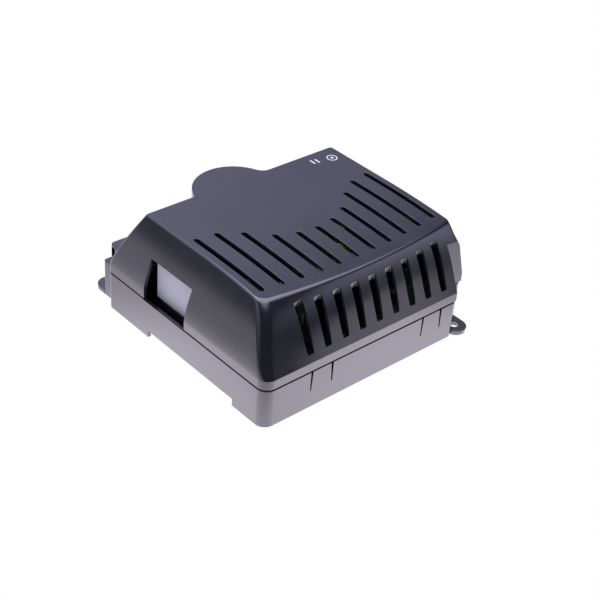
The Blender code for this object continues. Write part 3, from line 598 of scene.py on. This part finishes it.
def mixed(tree, share, first, second):
    # From first to second as the share goes from 0 to 1, each a colour or a socket.
    mix = addNode(tree, "Mix", {}, {"Factor": share}, data_type="RGBA")
    for key, value in (("A", first), ("B", second)):
        if isinstance(value, tuple):
            mix.inputs[key].default_value = (*value, 1.0)
        else:
            tree.links.new(value, mix.inputs[key])
    return mix.outputs["Result"]


def tone(tree, shader, source, dark, light, start=0.3, end=0.7):
    # Base colour from dark to light as a grey value goes from start to end.
    share = spread(tree, source, 0.0, 1.0, start, end)
    tree.links.new(mixed(tree, share, dark, light), shader.inputs["Base Color"])


def sheen(tree, shader, source, low, high):
    # Roughness from low to high with a grey value.
    tree.links.new(spread(tree, source, low, high), shader.inputs["Roughness"])


def relief(tree, shader, height, strength, distance):
    # A bump whose height is a grey value times a distance in metres.
    bump = addNode(tree, "Bump", {"Strength": strength, "Distance": distance}, {"Height": height})
    tree.links.new(bump.outputs["Normal"], shader.inputs["Normal"])


def mouldedPlastic(name, dark, light, roughness, grain=9000.0, ior=1.5):
    # Satin moulded plastic: a fine spark-eroded grain, cloudy sheen and faint handling marks.
    material, tree, shader = newMaterial(name, dark, roughness)
    shader.inputs["IOR"].default_value = ior
    tone(tree, shader, noise(tree, 35.0, 4.0), dark, light)
    sheen(tree, shader, noise(tree, 140.0, 5.0), roughness - 0.015, roughness + 0.02)
    relief(tree, shader, noise(tree, grain, 1.0), 0.12, 0.00002)
    return material


def metalFinish(name, dark, light, roughness, stretch=None, scale=900.0, depth=0.00003):
    # Bare or plated metal: drawn-out draw marks in colour, sheen and height.
    material, tree, shader = newMaterial(name, light, roughness, 1.0)
    marks = noise(tree, scale, 4.0, stretch)
    tone(tree, shader, marks, dark, light)
    sheen(tree, shader, noise(tree, 60.0, 3.0), roughness - 0.08, roughness + 0.12)
    relief(tree, shader, marks, 0.35, depth)
    return material


def coatedPart(name, dark, light, roughness, wave=220.0, depth=0.00012):
    # A dipped or shrunk skin: gently uneven, with a soft change of tone.
    material, tree, shader = newMaterial(name, dark, roughness)
    cloud = noise(tree, 90.0, 3.0)
    tone(tree, shader, cloud, dark, light)
    sheen(tree, shader, cloud, roughness - 0.05, roughness + 0.1)
    relief(tree, shader, noise(tree, wave), 0.4, depth)
    return material


def filmTape(name, dark, light, roughness):
    # Wound film tape: thin lap lines one above the other, glossy between them.
    material, tree, shader = newMaterial(name, light, roughness)
    laps = pattern(tree, "Wave", "Fac", {"Scale": 55.0, "Distortion": 1.5}, bands_direction="Z")
    tone(tree, shader, laps, dark, light, 0.0, 0.25)
    sheen(tree, shader, noise(tree, 120.0, 3.0), roughness - 0.05, roughness + 0.12)
    relief(tree, shader, laps, 0.3, 0.00006)
    return material


def firedFerrite(name, dark, light):
    # Fired ferrite: matt, nearly black, with lighter specks and fine pits.
    material, tree, shader = newMaterial(name, dark, 0.72)
    specks = pattern(tree, "Voronoi", "Distance", {"Scale": 2600.0})
    tone(tree, shader, specks, light, dark, 0.05, 0.45)
    sheen(tree, shader, noise(tree, 400.0, 3.0), 0.6, 0.85)
    relief(tree, shader, specks, 0.3, 0.00008)
    return material


def circuitBoard(name, mask, track, tin):
    # Solder mask over copper: long brick courses for tracks, and small round tinned holes.
    material, tree, shader = newMaterial(name, mask, 0.35)
    courses = {"Scale": 150.0, "Mortar Size": 0.035, "Brick Width": 2.2, "Row Height": 0.35}
    tracks = pattern(tree, "Brick", "Fac", courses)
    holes = spread(tree, pattern(tree, "Voronoi", "Distance", {"Scale": 190.0}), 1.0, 0.0, 0.11, 0.13)
    green = mixed(tree, tracks, mask, track)
    tree.links.new(mixed(tree, holes, green, tin), shader.inputs["Base Color"])
    sheen(tree, shader, noise(tree, 80.0, 3.0), 0.28, 0.42)
    relief(tree, shader, tracks, 0.3, 0.00005)
    return material


def fuseGlass(name):
    # Drawn glass tube: clear, faintly green, with slow changes of polish.
    material, tree, shader = newMaterial(name, (0.85, 0.9, 0.87), 0.05)
    shader.inputs["Transmission Weight"].default_value = 0.92
    shader.inputs["IOR"].default_value = 1.48
    sheen(tree, shader, noise(tree, 300.0), 0.02, 0.1)
    return material


record = frame["record"]
bodyOf = {node: body for body, nodes in record["behaviour"]["bodies"].items() for node in nodes}
slotOf = {part["node"]: part["material_slot"] for part in record["subparts"]}


def fit(piece, body, slot, *nodes):
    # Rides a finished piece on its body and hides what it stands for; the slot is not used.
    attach(piece, body)
    if nodes:
        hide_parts(*nodes)
    return piece


def newPiece(name, parts, slot, body="case", nodes=(), angle=30.0, less=()):
    # Ring shapes, less any others one after another, as a finished piece in the slot's own finish.
    piece = ringPiece(name, parts)
    for cut in less:
        cutWith(piece, cut)
    dress(piece, finishes[slot], angle)
    return fit(piece, body, slot, *nodes)


def refined(node, rounding):
    # A copy of a CAD solid: doubles merged, flat triangles joined, and every sharp edge rounded off.
    mesh = frame["nodes"][node].data.copy()
    grid = bmesh.new()
    grid.from_mesh(mesh)
    bmesh.ops.remove_doubles(grid, verts=grid.verts, dist=0.00001)
    bmesh.ops.dissolve_limit(grid, angle_limit=math.radians(1.0), verts=grid.verts, edges=grid.edges)
    grid.to_mesh(mesh)
    grid.free()
    piece = bpy.data.objects.new(node + "Shape", mesh)
    bpy.context.collection.objects.link(piece)
    bevel = piece.modifiers.new("soft", "BEVEL")
    bevel.width = rounding * mm
    bevel.segments = 3
    bevel.limit_method = "ANGLE"
    bevel.angle_limit = math.radians(35.0)
    applyModifiers(piece)
    dressEvenly(piece, finishes[slotOf[node]], 30.0)
    return fit(piece, bodyOf[node], slotOf[node], node)


softness = {
    "heatsink": 0.18, "thermal_pad": 0.12, "power_module": 0.3, "main_board": 0.1, "control_board": 0.1,
    "control_board_socket": 0.25, "processor_chip": 0.15, "choke_cup": 0.4, "choke_core": 0.6,
    "filter_choke_core": 0.5, "transformer_core": 0.35, "transformer_coil": 0.9, "x2_capacitor_1": 0.7,
    "x2_capacitor_2": 0.7, "film_capacitor": 0.8, "inrush_relay": 0.5, "bridge_rectifier": 0.3,
    "earth_tab": 0.12, "fuse_clip_1": 0.12, "fuse_clip_2": 0.12, "mains_header": 0.35,
    "motor_header": 0.35, "control_header": 0.35, "mains_plug": 0.35, "motor_plug": 0.35,
    "control_plug": 0.3, "cover_screw_1": 0.2, "cover_screw_2": 0.2,
}
softness.update({kind + "_screw_" + str(i): 0.15 for kind in ("board", "heatsink") for i in range(1, 5)})


def wire(path, radius, outward, sides=8):
    # A round wire: circles carried along the path, each square to the path's tangent.
    tangent = np.gradient(path, axis=0)
    tangent /= np.linalg.norm(tangent, axis=1)[:, None]
    normal = outward - tangent * (outward * tangent).sum(1)[:, None]
    normal /= np.linalg.norm(normal, axis=1)[:, None]
    second = np.cross(tangent, normal)
    turn = np.arange(sides) * 2 * math.pi / sides
    return path[:, None] + radius * (normal[:, None] * np.cos(turn)[None, :, None]
                                     + second[:, None] * np.sin(turn)[None, :, None])


def windingRings(centre, ringRadius, half, start, end, turns, thick):
    # Turns round a ring's section: the angle round the ring grows slowly while the section angle runs
    # round a boxy oval, whose sine and cosine are raised to the power 0.6.
    share = np.linspace(0.0, 1.0, turns * 40 + 1)
    around = np.radians(start + (end - start) * share)
    section = 2 * math.pi * turns * share
    out, up = (np.sign(wave) * np.abs(wave) ** 0.6 for wave in (np.cos(section), np.sin(section)))
    reach = ringRadius + (half[0] - thick) * out
    path = np.stack([centre[0] + reach * np.cos(around), centre[1] + reach * np.sin(around),
                     centre[2] + (half[1] - thick) * up], -1)
    outward = np.stack([np.cos(section) * np.cos(around), np.cos(section) * np.sin(around),
                        np.sin(section)], -1)
    return wire(path, thick, outward)


chokes = {
    "choke_winding": {"centre": (76.5, 121.5, 46.0), "ring": 13.5, "half": (7.5, 9.9), "arc": (22.0, 338.0),
                      "turns": 24, "thick": 0.72, "layer": 1.6},
    "filter_choke_winding_1": {"centre": (30.0, 66.0, 29.5), "ring": 10.0, "half": (6.1, 7.9),
                               "arc": (24.0, 156.0), "turns": 9, "thick": 0.62, "layer": 1.45},
    "filter_choke_winding_2": {"centre": (30.0, 66.0, 29.5), "ring": 10.0, "half": (6.1, 7.9),
                               "arc": (204.0, 336.0), "turns": 9, "thick": 0.62, "layer": 1.45},
}


def makeWindings():
    # Two layers of turns, the inner one half a turn on from the outer.
    for node, coil in chokes.items():
        inner = tuple(size - coil["layer"] for size in coil["half"])
        first, last = coil["arc"]
        step = (last - first) / coil["turns"] / 2
        shared = (coil["centre"], coil["ring"])
        layers = [windingRings(*shared, coil["half"], first, last, coil["turns"], coil["thick"]),
                  windingRings(*shared, inner, first + step, last - step, coil["turns"] - 1, coil["thick"])]
        newPiece(node + "Turns", layers, "copper_wire", nodes=(node,), angle=60.0)


def makeCapacitors():
    # Each can is a turned sleeve with a crimped neck, and a vented metal top set into its lip. The
    # sleeve's profile is (step in from the radius, height) up from the foot, then down from the top.
    foot = ((0.9, 0.0), (0.35, 0.12), (0.05, 0.6), (0.0, 1.4), (0.0, 2.6), (0.5, 3.2), (0.65, 3.7),
            (0.5, 4.2), (0.0, 4.9))
    crown = ((0.0, 1.1), (0.15, 0.5), (0.55, 0.12), (1.1, 0.0), (1.5, 0.12), (1.55, 0.5))
    lid = ((1.7, 1.2), (1.7, 0.45), (2.3, 0.25), (3.0, 0.28))
    for i in range(1, 4):
        node = "bulk_capacitor_" + str(i)
        low, high = nodeBox(node)
        x, y = (low[0] + high[0]) / 2, (low[1] + high[1]) / 2
        radius, top = (high[0] - low[0]) / 2, high[2]
        sleeve = [(radius - inset, low[2] + up) for inset, up in foot]
        sleeve += [(radius - inset, top - down) for inset, down in crown]
        newPiece("canSleeve" + str(i), turned((x, y), sleeve, 56), "capacitor_sleeve", nodes=(node,),
                 angle=50.0)
        plate = [(radius - inset, top - down) for inset, down in lid]
        vents = [boxRings((x - u, x + u), (y - v, y + v), (top - 0.45, top + 1))
                 for u, v in ((7.0, 0.22), (0.22, 7.0))]
        newPiece("canTop" + str(i), turned((x, y), plate, 56), "steel", less=vents)


discs = {"varistor": 0.42, "thermistor": 0.42, "y_capacitor_1": 0.5, "y_capacitor_2": 0.5}


def makeDiscs():
    # Dipped discs: a rounded coin turned about the Y axis, with its wire legs as round rods.
    legs = []
    for node, power in discs.items():
        low, high = nodeBox(node)
        radius = (high[0] - low[0]) / 2
        x, y, z = (low[0] + high[0]) / 2, (low[1] + high[1]) / 2, high[2] - radius
        turn = np.linspace(-math.pi / 2, math.pi / 2, 17)
        half = (high[1] - low[1]) / 2
        pairs = [(max(radius * math.cos(a) ** power, 0.05), half * math.sin(a)) for a in turn]
        newPiece(node + "Disc", turned((x, y, z), pairs, 40, "y"), slotOf[node], nodes=(node,), angle=50.0)
        apart = min(3.7, radius - 0.6)
        for side in (-apart, apart):
            rod = ((0.55, low[2]), (0.4, low[2] + 0.5), (0.4, z - radius * 0.35))
            legs.append(turned((x + side, y), rod, 10))
    newPiece("discLegs", legs, "steel")


def makeFuse():
    # A glass tube between two plated caps.
    low, high = nodeBox("mains_fuse")
    y, z = (low[1] + high[1]) / 2, (low[2] + high[2]) / 2
    radius, length = (high[2] - low[2]) / 2, high[0] - low[0]
    inset = radius - 0.15
    tube = turned((0.0, y, z), ((inset, low[0] + 0.4), (inset, high[0] - 0.4)), 32, "x")
    newPiece("fuseTube", tube, "fuse_glass", nodes=("mains_fuse",))
    caps = []
    for start, sign in ((low[0], 1.0), (high[0], -1.0)):
        pairs = [(radius - 0.5, start), (radius - 0.12, start + sign * 0.15), (radius, start + sign * 0.5),
                 (radius, start + sign * (length * 0.24)), (radius - 0.1, start + sign * (length * 0.245))]
        caps.append(turned((0.0, y, z), pairs if sign > 0 else pairs[::-1], 32, "x"))
    newPiece("fuseCaps", caps, "steel")


def makeTransformerTape():
    # A band of tape round the core: its outer box less the core's own box.
    (x0, y0, z0), (x1, y1, z1) = nodeBox("transformer_core")
    band = boxRings((x0 - 0.22, x1 + 0.22), (y0 + 2.5, y1 - 2.5), (z0 - 0.2, z1 + 0.22), 0.5, 0.3, 0.3, 5)
    core = boxRings((x0 - 0.02, x1 + 0.02), (y0 - 2, y1 + 2), (z0 - 0.02, z1 + 0.02))
    newPiece("coreTape", band, "yellow_tape", less=[core])


def makeClampScrews():
    # A slotted screw down in each drive hole and a plated cage behind each wire entry.
    for plug, (low, high, poles) in plugRows.items():
        seat = nodeBox(plug + "_plug")[1][2] - 3.0
        pitch = (high - low) / poles
        half = pitch * 0.24
        size = half - 0.12
        head = ((size, seat - 0.3), (size, seat + 1.0), (size - 0.15, seat + 1.2))
        heads, slots, cages = [], [], []
        for i in range(poles):
            x = low + pitch * (i + 0.5)
            heads.append(turned((x, 149.0), head, 20))
            slots.append(boxRings((x - half, x + half), (148.8, 149.2), (seat + 0.6, seat + 2)))
            cages.append(boxRings((x - half + 0.15, x + half - 0.15), (150.1, 151.0), (21.3, 26.2),
                                  0.25, 0.1, 0.1, 3))
        newPiece(plug + "ClampScrews", heads, "steel", plug + "_plug_body", less=[slots])
        newPiece(plug + "ClampCages", cages, "steel", plug + "_plug_body")


def gullLegs(u, v, count, length, w, side):
    # Short feet along both sides of a chip package, as small boxes in (u, v, w).
    legs = []
    for along in u + np.linspace(-0.5, 0.5, count) * length:
        for sign in (-1.0, 1.0):
            near, away = sorted((v + sign * (side - 0.1), v + sign * (side + 0.9)))
            legs.append(boxRings((along - 0.2, along + 0.2), (near, away), (w, w + 0.28), 0.06, 0.05))
    return legs


def chipPart(u, v, w):
    # A chip part in (u, v, w): its body, and its two plated ends.
    ends = []
    for sign in (-1.0, 1.0):
        near, away = sorted((u + sign * 0.7, u + sign * 1.05))
        ends.append(boxRings((near, away), (v - 0.64, v + 0.64), (w, w + 0.54), 0.05, 0.05))
    return boxRings((u - 0.75, u + 0.75), (v - 0.6, v + 0.6), (w, w + 0.5), 0.05, 0.05), ends


smallParts = {"seed": 11, "chips": 54, "standingChips": 26, "packages": 6, "cans": 5, "tries": 900}


def clearPlaces(region, taken, room, wanted, half, random):
    # Random places whose own rectangle, grown by the room, misses every taken rectangle.
    found = []
    for u, v in random.uniform((region[0], region[2]), (region[1], region[3]), (smallParts["tries"], 2)):
        mine = np.array([u - half[0] - room, u + half[0] + room, v - half[1] - room, v + half[1] + room])
        if all(mine[1] < box[0] or mine[0] > box[1] or mine[3] < box[2] or mine[2] > box[3] for box in taken):
            found.append((u, v))
            taken.append(mine)
        if len(found) == wanted:
            break
    return found


def makeSmallParts():
    # Chip parts, driver packages and little cans wherever the tall parts leave the board free.
    random = np.random.default_rng(smallParts["seed"])
    low, high = nodeBox("main_board")
    top = high[2]
    region = (low[0] + 2.5, high[0] - 2.5, low[1] + 2.5, high[1] - 4.0)
    taken = []
    for node, body in bodyOf.items():
        low, high = nodeBox(node)
        if body == "case" and top - 0.1 < low[2] < top + 9 and node != "main_board":
            taken.append((low[0], high[0], low[1], high[1]))
    taken += [(x - 4.5, x + 4.5, y - 4.5, y + 4.5) for x, y in coverScrews + boardScrews]
    packages, legs, cans, bodies, ends = [], [], [], [], []
    for u, v in clearPlaces(region, taken, 1.0, smallParts["packages"], (2.6, 3.2), random):
        packages.append(boxRings((u - 2.5, u + 2.5), (v - 2.0, v + 2.0), (top + 0.12, top + 1.6),
                                 0.15, 0.3, 0.1, 2))
        legs += gullLegs(u, v, 4, 3.8, top, 2.0)
    can = ((2.7, 0.0), (3.1, 0.25), (3.1, 1.2), (2.85, 1.6), (3.1, 2.0), (3.1, 6.6), (2.8, 7.0), (2.3, 7.05))
    for u, v in clearPlaces(region, taken, 1.0, smallParts["cans"], (3.2, 3.2), random):
        cans.append(turned((u, v), [(radius, top + up) for radius, up in can], 28))
    for u, v in clearPlaces(region, taken, 0.7, smallParts["chips"], (1.2, 0.8), random):
        body, tips = chipPart(u, v, top)
        bodies.append(body)
        ends += tips

    # The control board stands: its parts are made flat and then turned upright.
    low, high = nodeBox("control_board")
    chipLow, chipHigh = nodeBox("processor_chip")
    face = high[0]
    taken = [(chipLow[1] - 2.5, chipHigh[1] + 2.5, chipLow[2] - 2.5, chipHigh[2] + 2.5)]
    region = (low[1] + 2, high[1] - 2, 26.0, high[2] - 1.5)
    upright = [2, 0, 1]
    for u, v in clearPlaces(region, taken, 0.7, smallParts["standingChips"], (1.2, 0.8), random):
        body, tips = chipPart(u, v, face)
        bodies.append(body[..., upright])
        ends += [tip[..., upright] for tip in tips]
    middle = (chipLow + chipHigh) / 2
    side = (chipHigh[1] - chipLow[1]) / 2
    legs += [leg[..., upright] for leg in gullLegs(middle[1], middle[2], 14, 12.0, face, side)]
    legs += [leg[..., ::-1][:, ::-1] for leg in gullLegs(middle[2], middle[1], 14, 12.0, face, side)]
    newPiece("chipBodies", bodies, "black_part")
    newPiece("chipEnds", ends, "steel")
    newPiece("driverPackages", packages, "black_part")
    newPiece("packageLegs", legs, "steel")
    newPiece("smallCans", cans, "capacitor_sleeve", angle=50.0)


mark = {"ring": (150.2, 116.8, 3.6), "dot": 1.1, "stroke": 0.75, "bars": ((139.6, 118.9), (136.2, 119.6)),
        "barLength": 5.0}


def makeMark():
    # A generic sign for the working side: a ring with a dot and two short bars, a hair above the top.
    top = topHeight(np.array([110.0]))[0]
    low, high = top - 0.1, top + 0.02
    x, y, radius = mark["ring"]
    stroke = mark["stroke"]
    ring = ringPiece("sideMark", turned((x, y), ((radius, low), (radius, high)), 48))
    cutWith(ring, turned((x, y), ((radius - stroke, low - 1), (radius - stroke, high + 1)), 48))
    joinWith(ring, turned((x, y), ((mark["dot"], low), (mark["dot"], high)), 24))
    half, side = mark["barLength"] / 2, stroke * 0.8
    for u, v in mark["bars"]:
        joinWith(ring, boxRings((u - side, u + side), (v - half, v + half), (low, high), 0.55, steps=6))
    material, tree, shader = newMaterial("markInk", (0.75, 0.75, 0.8), 0.5)
    tone(tree, shader, noise(tree, 1500.0, 3.0), (0.62, 0.62, 0.68), (0.8, 0.8, 0.86))
    dress(ring, material)
    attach(ring, "cover")


view = {"azimuth": -43.77, "elevation": 34.71, "roll": 4.64, "spot": (-382.13, -420.20, 482.72), "lens": 81.0}


def makeCamera():
    # The viewing angle in degrees, and a place in millimetres from the case's corner.
    azimuth, elevation, roll = (math.radians(view[key]) for key in ("azimuth", "elevation", "roll"))
    forward = Vector((-math.sin(azimuth) * math.cos(elevation), math.cos(azimuth) * math.cos(elevation),
                      -math.sin(elevation)))
    right = forward.cross(Vector((0, 0, 1))).normalized()
    up = right.cross(forward).normalized()
    turnedRight = right * math.cos(roll) + up * math.sin(roll)
    turnedUp = up * math.cos(roll) - right * math.sin(roll)
    data = bpy.data.cameras.new("camera")
    data.sensor_width = 36.0
    data.lens = view["lens"]
    camera = bpy.data.objects.new("camera", data)
    turn = Matrix((turnedRight, turnedUp, -forward)).transposed().to_4x4()
    camera.matrix_world = Matrix.Translation(Vector(place(view["spot"]))) @ turn
    bpy.context.collection.objects.link(camera)
    bpy.context.scene.camera = camera


light = {
    "backdrop": (1.0, 1.0, 1.0), "table": 2.8, "tableSize": 20.0, "tableReach": 0.5,
    "tableTint": (1.0, 0.93, 1.05), "tableMiddle": (0.0, -0.025, 0.0),
    "tableGlow": ((0.0, 1.0), (0.2, 0.91), (0.27, 0.42), (0.4, 0.25), (0.56, 0.185), (0.9, 0.17)),
    "brightSide": (-0.35, 0.94, 0.0), "sideSpan": (-0.05, 0.6), "sideRange": (0.02, 0.79),
    "frontBox": (0.75, -0.6, 0.25), "frontBoxEdge": (0.88, 0.98), "frontBoxPower": 1.1,
    "softBox": (0.1, 0.05, 1.0), "softBoxEdge": (0.74, 0.92), "softBoxPower": 2.4,
    "sky": ((0.0, (0.1, 0.1, 0.12)), (0.2, (0.3, 0.3, 0.36)), (0.55, (1.15, 1.17, 1.7)),
            (0.9, (1.2, 1.22, 1.5))),
}


def paleToCamera(tree, shader, plain):
    # Straight looks see a plain pale backdrop; every other ray sees the light itself.
    pale = addNode(tree, plain, {"Color": (*light["backdrop"], 1.0)})
    straight = addNode(tree, "LightPath").outputs["Is Camera Ray"]
    return addNode(tree, "MixShader", {}, {"Fac": straight, 1: shader, 2: pale.outputs[0]}).outputs["Shader"]


def colourRamp(tree, source, stops):
    # Colours along a ramp, each stop a position and a colour.
    node = addNode(tree, "ValToRGB", {}, {"Fac": source})
    elements = node.color_ramp.elements
    while len(elements) < len(stops):
        elements.new(0.5)
    for element, (position, colour) in zip(elements, stops):
        element.position = position
        element.color = (*colour, 1.0)
    return node


def lookShare(tree, direction, toward, edge, low, high):
    # Rises smoothly from low to high as the look's dot product with a direction crosses the edge.
    dot = addNode(tree, "VectorMath", {1: toward}, {0: direction}, operation="DOT_PRODUCT")
    values = {"From Min": edge[0], "From Max": edge[1], "To Min": low, "To Max": high}
    return addNode(tree, "MapRange", values, {"Value": dot.outputs["Value"]},
                   interpolation_type="SMOOTHSTEP").outputs["Result"]


def makeSky():
    # A dark room with a soft pale ceiling: brightness rises with the height of the view, leans to the
    # left and back, and two round soft boxes hang overhead and before the right front.
    world = bpy.data.worlds.new("studio")
    bpy.context.scene.world = world
    world.use_nodes = True
    tree = world.node_tree
    direction = addNode(tree, "TexCoord").outputs["Generated"]
    height = addNode(tree, "SeparateXYZ", {}, {"Vector": direction}).outputs["Z"]
    total = lookShare(tree, direction, light["brightSide"], light["sideSpan"], *light["sideRange"])
    for box in ("softBox", "frontBox"):
        toward = Vector(light[box]).normalized()
        glow = lookShare(tree, direction, toward, light[box + "Edge"], 0.0, light[box + "Power"])
        total = addNode(tree, "Math", {}, {0: total, 1: glow}, operation="ADD").outputs["Value"]
    background = tree.nodes["Background"]
    tree.links.new(colourRamp(tree, height, light["sky"]).outputs["Color"], background.inputs["Color"])
    tree.links.new(total, background.inputs["Strength"])
    tree.links.new(paleToCamera(tree, background.outputs["Background"], "Background"),
                   tree.nodes["World Output"].inputs["Surface"])


def makeStage():
    # A pale table, brightest round the drive, that glows as a back-lit table does.
    mesh = bpy.data.meshes.new("table")
    reach = light["tableSize"]
    mesh.from_pydata([(-reach, -reach, 0), (reach, -reach, 0), (reach, reach, 0), (-reach, reach, 0)], [],
                     [(0, 1, 2, 3)])
    table = bpy.data.objects.new("table", mesh)
    table.location = (0, 0, -0.0002)
    bpy.context.collection.objects.link(table)
    material, tree, shader = newMaterial("paleTable", (0.3, 0.3, 0.3), 0.8)
    spot = addNode(tree, "TexCoord").outputs["Object"]
    distance = addNode(tree, "VectorMath", {1: light["tableMiddle"]}, {0: spot}, operation="DISTANCE")
    away = spread(tree, distance.outputs["Value"], 0.0, 1.0, 0.0, light["tableReach"])
    stops = [(share, [glow * tint for tint in light["tableTint"]]) for share, glow in light["tableGlow"]]
    ramp = colourRamp(tree, away, stops)
    ramp.color_ramp.interpolation = "B_SPLINE"
    tree.links.new(ramp.outputs["Color"], shader.inputs["Emission Color"])
    shader.inputs["Emission Strength"].default_value = light["table"]
    tree.links.new(paleToCamera(tree, shader.outputs["BSDF"], "Emission"),
                   tree.nodes["Material Output"].inputs["Surface"])
    mesh.materials.append(material)
    makeSky()
    bpy.context.scene.view_settings.view_transform = "Standard"


finishes = {
    "case_base": mouldedPlastic("casePlastic", (0.010, 0.010, 0.014), (0.016, 0.016, 0.021), 0.17, ior=1.8),
    # The window panel's pale grey is painted reflection of the bright table on the dark recess wall.
    "window_panel": mouldedPlastic("panelPaintedReflection", (0.44, 0.44, 0.47), (0.48, 0.48, 0.51), 0.6),
    "sink_aluminium": metalFinish("extrudedAluminium", (0.55, 0.56, 0.58), (0.78, 0.79, 0.81), 0.36,
                                  (0.04, 1.0, 1.0)),
    "pad": coatedPart("thermalPad", (0.42, 0.47, 0.52), (0.5, 0.55, 0.6), 0.85, 900.0),
    "black_part": mouldedPlastic("blackPart", (0.012, 0.012, 0.013), (0.022, 0.022, 0.024), 0.42, 6000.0),
    "board": circuitBoard("solderMask", (0.003, 0.02, 0.009), (0.006, 0.036, 0.016), (0.4, 0.39, 0.35)),
    "ferrite": firedFerrite("firedFerrite", (0.035, 0.035, 0.038), (0.1, 0.1, 0.105)),
    "copper_wire": metalFinish("enamelledCopper", (0.38, 0.11, 0.035), (0.62, 0.24, 0.09), 0.28, scale=500.0),
    "yellow_tape": filmTape("filmTape", (0.42, 0.4, 0.03), (0.72, 0.66, 0.06), 0.3),
    "yellow_case": mouldedPlastic("yellowCase", (0.62, 0.5, 0.07), (0.7, 0.58, 0.1), 0.38, 5000.0),
    "blue_case": coatedPart("blueCoat", (0.03, 0.1, 0.34), (0.045, 0.14, 0.44), 0.25),
    "steel": metalFinish("zincPlate", (0.48, 0.48, 0.5), (0.7, 0.7, 0.71), 0.3, scale=1400.0),
    "fuse_glass": fuseGlass("fuseGlass"),
    "header": mouldedPlastic("headerPlastic", (0.34, 0.36, 0.36), (0.4, 0.42, 0.42), 0.42, 6000.0),
    "plug": mouldedPlastic("plugPlastic", (0.03, 0.22, 0.1), (0.045, 0.28, 0.13), 0.38, 6000.0),
    "capacitor_sleeve": coatedPart("shrinkSleeve", (0.012, 0.012, 0.018), (0.022, 0.022, 0.032), 0.28, 160.0),
}
finishes["case_cover"] = finishes["case_base"]

print("cover:", len(makeCover().data.polygons), "faces")
print("base:", len(makeBase().data.polygons), "faces")
for name, (low, high) in snapTabs.items():
    makeTab(name, low, high)
# A plate behind the cable window, pale grey as painted reflection of the bright table.
plate = boxRings(*zip(*nodeBox("window_panel")), 0.35, 0.4, 0.4, 4)    # behind the cable window
newPiece("windowPlate", plate, "window_panel", "cover", ("window_panel",))
makeMark()
print("tabs, panel and mark made")

for node, amount in softness.items():
    refined(node, amount)
print("inner parts softened:", len(softness))
makeWindings()
makeCapacitors()
makeDiscs()
makeFuse()
makeTransformerTape()
makeClampScrews()
makeSmallParts()
print("windings, cans, discs, fuse, tape, clamps and small parts made")

makeStage()
makeCamera()
